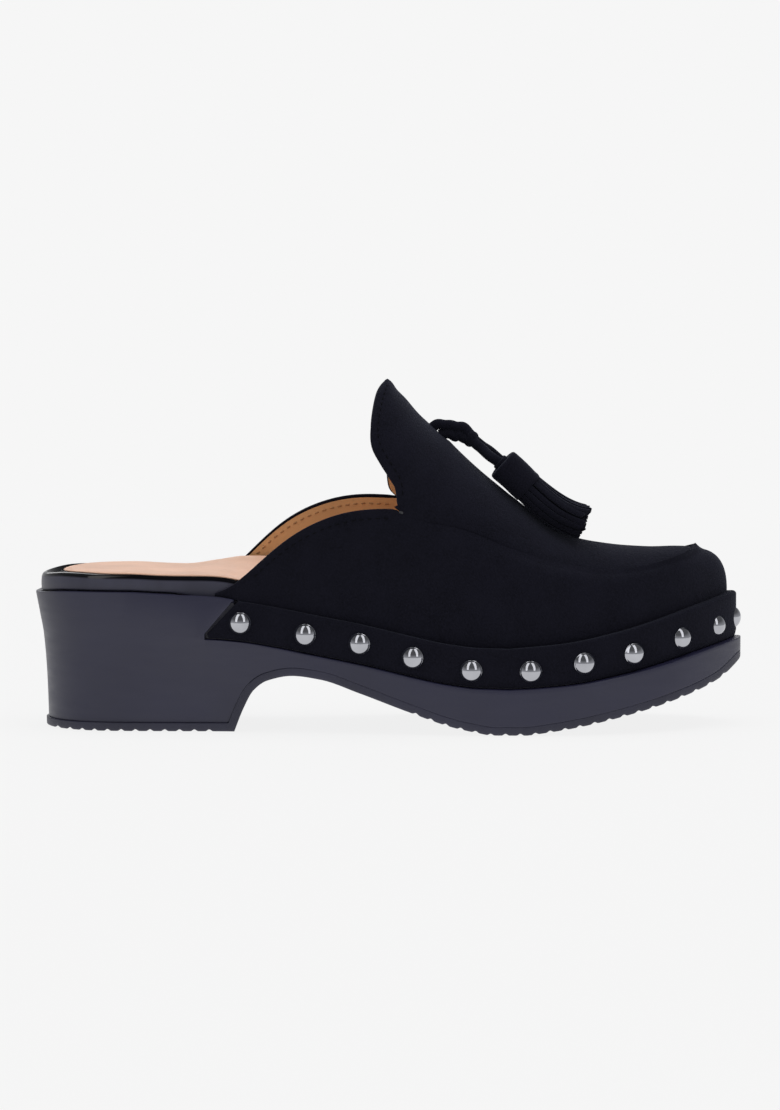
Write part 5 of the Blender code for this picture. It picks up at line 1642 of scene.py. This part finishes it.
def looks():
    """Every finish, made once."""
    if not LOOKS:
        c = bpy.context.scene.clog_colours
        LOOKS.update(
            suede=suede_finish(c), platform=platform_finish(c), rubber=rubber_finish(c), rim=rim_finish(c),
            insole=tan_finish("tan_insole_leather", c.insole, 0.00006),
            lining=tan_finish("tan_lining_leather", c.lining, 0.00010),
            nickel=nickel_finish(c), tan_thread=thread_finish("tan_thread", c.tan_thread),
            black_thread=thread_finish("black_thread", c.black_thread, 0.2),
            grey_thread=thread_finish("grey_thread", c.grey_thread),
        )
    return LOOKS


# ---------------------------------------------------------------- stage

def make_camera():
    """The photograph's side view, a little above the floor's level."""
    data = bpy.data.cameras.new("side_camera")
    data.lens, data.sensor_width = 197.7, 36
    camera = bpy.data.objects.new("side_camera", data)
    bpy.context.scene.collection.objects.link(camera)
    tilt, away, target = math.radians(4.2), 2.2, Vector((0.00027, 0, 0.061))
    back = Vector((0, -math.cos(tilt), math.sin(tilt)))
    camera.location = target + back * away
    camera.rotation_euler = (-back).to_track_quat("-Z", "Y").to_euler()
    data.clip_start, data.clip_end = 0.05, 60
    bpy.context.scene.camera = camera


def make_floor(stage):
    """A pale studio floor: mostly an even glow, with enough plain white to hold a soft contact shadow."""
    f = Finish("studio_floor")
    f.set(Roughness=0.9, Specular_IOR_Level=0.1)
    f.shader.inputs["Base Color"].default_value = tuple(stage.floor) + (1,)
    glow = f.nodes.new("ShaderNodeEmission")
    glow.inputs["Color"].default_value = tuple(stage.backdrop) + (1,)
    flat = f.nodes.new("ShaderNodeVectorMath")
    flat.operation = "LENGTH"
    f.link(f.place, flat.inputs[0])
    share = f.ramp(flat.outputs["Value"], 0.25, 1.1, 1 - stage.shadow, 1)
    mix = f.nodes.new("ShaderNodeMixShader")
    f.link(share, mix.inputs[0])
    f.link(f.shader.outputs[0], mix.inputs[1])
    f.link(glow.outputs[0], mix.inputs[2])
    f.link(mix.outputs[0], f.nodes["Material Output"].inputs["Surface"])
    shape = bmesh.new()
    bmesh.ops.create_circle(shape, cap_ends=True, segments=96, radius=14)
    mesh = bpy.data.meshes.new("studio_floor")
    shape.to_mesh(mesh)
    shape.free()
    floor = bpy.data.objects.new("studio_floor", mesh)
    floor.location.z = -0.0002
    mesh.materials.append(f.material)
    bpy.context.scene.collection.objects.link(floor)


def make_world(stage):
    """Even pale light: flat behind the shoe, and for all other rays darker towards the top."""
    world = bpy.data.worlds.new("studio")
    bpy.context.scene.world = world
    world.use_nodes = True
    nodes, links = world.node_tree.nodes, world.node_tree.links
    nodes.clear()
    out = nodes.new("ShaderNodeOutputWorld")
    path = nodes.new("ShaderNodeLightPath")
    seen, room = nodes.new("ShaderNodeBackground"), nodes.new("ShaderNodeBackground")
    seen.inputs["Color"].default_value = tuple(stage.backdrop) + (1,)
    room.inputs["Color"].default_value = tuple(stage.room) + (1,)
    place, split = nodes.new("ShaderNodeTexCoord"), nodes.new("ShaderNodeSeparateXYZ")
    links.new(place.outputs["Generated"], split.inputs[0])
    height = nodes.new("ShaderNodeMapRange")
    for name, value in zip(RANGE_INPUTS, (0.02, 0.5, stage.room_strength, stage.room_top)):
        height.inputs[name].default_value = value
    links.new(split.outputs["Z"], height.inputs["Value"])
    links.new(height.outputs["Result"], room.inputs["Strength"])
    mix = nodes.new("ShaderNodeMixShader")
    links.new(path.outputs["Is Camera Ray"], mix.inputs[0])
    links.new(room.outputs[0], mix.inputs[1])
    links.new(seen.outputs[0], mix.inputs[2])
    links.new(mix.outputs[0], out.inputs[0])


def make_lamp(name, place, target, size, power):
    data = bpy.data.lights.new(name, "AREA")
    data.shape, data.size, data.size_y = "RECTANGLE", size[0], size[1]
    data.energy = power
    lamp = bpy.data.objects.new(name, data)
    lamp.location = place
    lamp.rotation_euler = (Vector(target) - Vector(place)).to_track_quat("-Z", "Y").to_euler()
    bpy.context.scene.collection.objects.link(lamp)
    return lamp


def make_lights(stage):
    """Two strips that the studs reflect, a wide lamp above that shows in no reflection, and a fill behind."""
    power = stage.lamp_power
    make_lamp("strip_left", (-0.88, -0.9, 1.32), (-0.4, 0, 0.05), (0.64, 2.6), 6.6 * power)
    make_lamp("strip_right", (0.88, -0.9, 1.32), (0.4, 0, 0.05), (0.64, 2.6), 6.6 * power)
    overhead = make_lamp("overhead", (0.1, 0.3, 1.9), (0, 0, 0.05), (2.2, 1.6), 25 * power)
    overhead.visible_glossy = False
    make_lamp("back_fill", (0.0, 1.9, 1.0), (0, 0, 0.06), (1.8, 1.0), 8 * power)


# ---------------------------------------------------------------- add-on

def length(name, text, default, low=0.0, high=0.02):
    return bpy.props.FloatProperty(
        name=name, description=text, default=default, min=low, max=high, precision=5,
        unit="LENGTH", subtype="DISTANCE",
    )


def share(name, text, default, low=0.0, high=1.0):
    return bpy.props.FloatProperty(
        name=name, description=text, default=default, min=low, max=high, subtype="FACTOR"
    )


def paint(name, text, default):
    return bpy.props.FloatVectorProperty(
        name=name, description=text, default=default, min=0, max=1, subtype="COLOR"
    )


class ClogSizes(bpy.types.PropertyGroup):
    lining_thickness: length("Lining thickness", "How far the tan lining stands in from the suede", 0.00028)
    lining_drop: length("Lining drop", "How far the lining stops below the rolled edge", 0.0009)
    edge_roll: length("Edge roll", "Height of the rounded suede edge", 0.0004)
    crease_depth: length("Crease depth", "Depth of the soft creases on the vamp's sides", 0.00035)
    stitch_length: length("Stitch length", "Length of one stitch", 0.0021, 0.0005)
    stitch_gap: length("Stitch gap", "Distance between two stitches", 0.0008)
    stitch_inset: length("Stitch inset", "Distance from the edge to the stitches", 0.0031)
    thread_width: length("Thread width", "Thickness of the sewing thread", 0.0006, 0.0001)
    thong_flatness: share("Thong flatness", "Thickness of the thong as a share of its width", 0.96, 0.3)
    thong_sunk: length("Thong sunk", "How far the thong's ends reach into the tongue", 0.0012)
    strip_thickness: length("Strip thickness", "Thickness of one fringe strip", 0.0011, 0.0002)
    strip_count: bpy.props.IntProperty(
        name="Strips", description="Strips in the outer ring of one tassel", default=14, min=6, max=30
    )


class ClogColours(bpy.types.PropertyGroup):
    suede: paint("Suede", "Colour of upper, thong and tassels", (0.0049, 0.0049, 0.0087))
    platform: paint("Platform", "Colour of the platform and heel", (0.0147, 0.0147, 0.039))
    rubber: paint("Rubber", "Colour of the outsole", (0.019, 0.019, 0.040))
    rim: paint("Rim", "Colour of the glossy footbed edge", (0.047, 0.047, 0.071))
    insole: paint("Insole", "Colour of the sock", (0.755, 0.475, 0.342))
    lining: paint("Lining", "Colour of the upper's lining", (0.69, 0.38, 0.17))
    nickel: paint("Nickel", "Colour of the nail heads", (0.47, 0.475, 0.51))
    tan_thread: paint("Tan thread", "Thread on the lining", (0.44, 0.23, 0.10))
    black_thread: paint("Black thread", "Thread on the suede", (0.0035, 0.0036, 0.0055))
    grey_thread: paint("Grey thread", "Thread of the bar tacks", (0.05, 0.05, 0.055))


class ClogStage(bpy.types.PropertyGroup):
    backdrop: paint("Backdrop", "Colour behind the shoe", (0.922, 0.922, 0.922))
    room: paint("Room light", "Colour of the light from all round", (0.96, 0.97, 1.0))
    room_strength: share("Room strength", "Strength of the room's light near the floor", 0.5, 0, 5)
    room_top: share("Room top", "Strength of the room's light from above", 0.14, 0, 5)
    floor: paint("Floor", "Colour of the part of the floor that takes shadows", (0.92, 0.92, 0.92))
    lamp_power: share("Lamp power", "Strength of the studio lamps", 1.0, 0, 10)
    shadow: share("Floor shadow", "How much of the floor takes the shoe's soft shadow", 0.08)


class PieceOperator(bpy.types.Operator):
    bl_options = {"REGISTER", "UNDO"}

    def execute(self, context):
        self.build(looks())
        return {"FINISHED"}


class CLOG_OT_thong(PieceOperator):
    bl_idname = "clog.thong"
    bl_label = "Thong and Tassels"

    def build(self, look):
        strands = make_thong(look["suede"])
        tassels = make_tassels(look["suede"])


class CLOG_OT_platform(PieceOperator):
    """Builds the black platform with its block heel"""

    bl_idname = "clog.platform"
    bl_label = "Platform"

    def build(self, look):
        make_platform(look["platform"])


class CLOG_OT_outsole(PieceOperator):
    """Builds the grooved rubber outsole"""

    bl_idname = "clog.outsole"
    bl_label = "Outsole"

    def build(self, look):
        make_outsole(look["rubber"])


class CLOG_OT_footbed(PieceOperator):
    """Builds the glossy wrapped footbed and its tan sock"""

    bl_idname = "clog.footbed"
    bl_label = "Footbed and Insole"

    def build(self, look):
        make_footbed(look["rim"])
        make_insole(look["insole"])


class CLOG_OT_upper(PieceOperator):
    """Builds the suede vamp and tongue with their linings"""

    bl_idname = "clog.upper"
    bl_label = "Upper"

    def build(self, look):
        make_upper(look["suede"], look["lining"])


class CLOG_OT_stitches(PieceOperator):
    """Builds the stitches along the edges and the bar tacks at the notch"""

    bl_idname = "clog.stitches"
    bl_label = "Stitches"

    def build(self, look):
        make_stitches(look["tan_thread"], look["black_thread"], look["grey_thread"])


class CLOG_OT_studs(PieceOperator):
    """Builds the nickel nail heads along the band"""

    bl_idname = "clog.studs"
    bl_label = "Nail Heads"

    def build(self, look):
        make_studs(look["nickel"])


class CLOG_OT_stage(bpy.types.Operator):
    """Sets the camera, the pale floor and the studio light"""

    bl_idname = "clog.stage"
    bl_label = "Stage"
    bl_options = {"REGISTER", "UNDO"}

    def execute(self, context):
        stage = context.scene.clog_stage
        make_camera()
        make_floor(stage)
        make_world(stage)
        make_lights(stage)
        context.scene.view_settings.view_transform = "Standard"
        return {"FINISHED"}


PIECE_OPERATORS = (
    CLOG_OT_thong, CLOG_OT_upper, CLOG_OT_stitches, CLOG_OT_studs,
    CLOG_OT_platform, CLOG_OT_outsole, CLOG_OT_footbed,
)


class CLOG_PT_panel(bpy.types.Panel):
    """Lists the clog's pieces, sizes and colours"""

    bl_idname = "CLOG_PT_panel"
    bl_label = "Tassel Clog"
    bl_space_type = "VIEW_3D"
    bl_region_type = "UI"
    bl_category = "Clog"

    def draw(self, context):
        for operator in (CLOG_OT_stage, *PIECE_OPERATORS):
            self.layout.operator(operator.bl_idname)
        for group in (context.scene.clog_sizes, context.scene.clog_colours, context.scene.clog_stage):
            box = self.layout.box()
            for name in group.__annotations__:
                box.prop(group, name)


GROUPS = (("clog_sizes", ClogSizes), ("clog_colours", ClogColours), ("clog_stage", ClogStage))
CLASSES = (ClogSizes, ClogColours, ClogStage, CLOG_OT_stage, *PIECE_OPERATORS, CLOG_PT_panel)


def register():
    for made in CLASSES:
        bpy.utils.register_class(made)
    for name, group in GROUPS:
        setattr(bpy.types.Scene, name, bpy.props.PointerProperty(type=group))


def unregister():
    for name, _ in GROUPS:
        delattr(bpy.types.Scene, name)
    for made in reversed(CLASSES):
        bpy.utils.unregister_class(made)


def main():
    register()
    bpy.ops.clog.stage()
    for operator in PIECE_OPERATORS:
        group, name = operator.bl_idname.split(".")
        getattr(getattr(bpy.ops, group), name)()


if __name__ == "__main__":
    main()
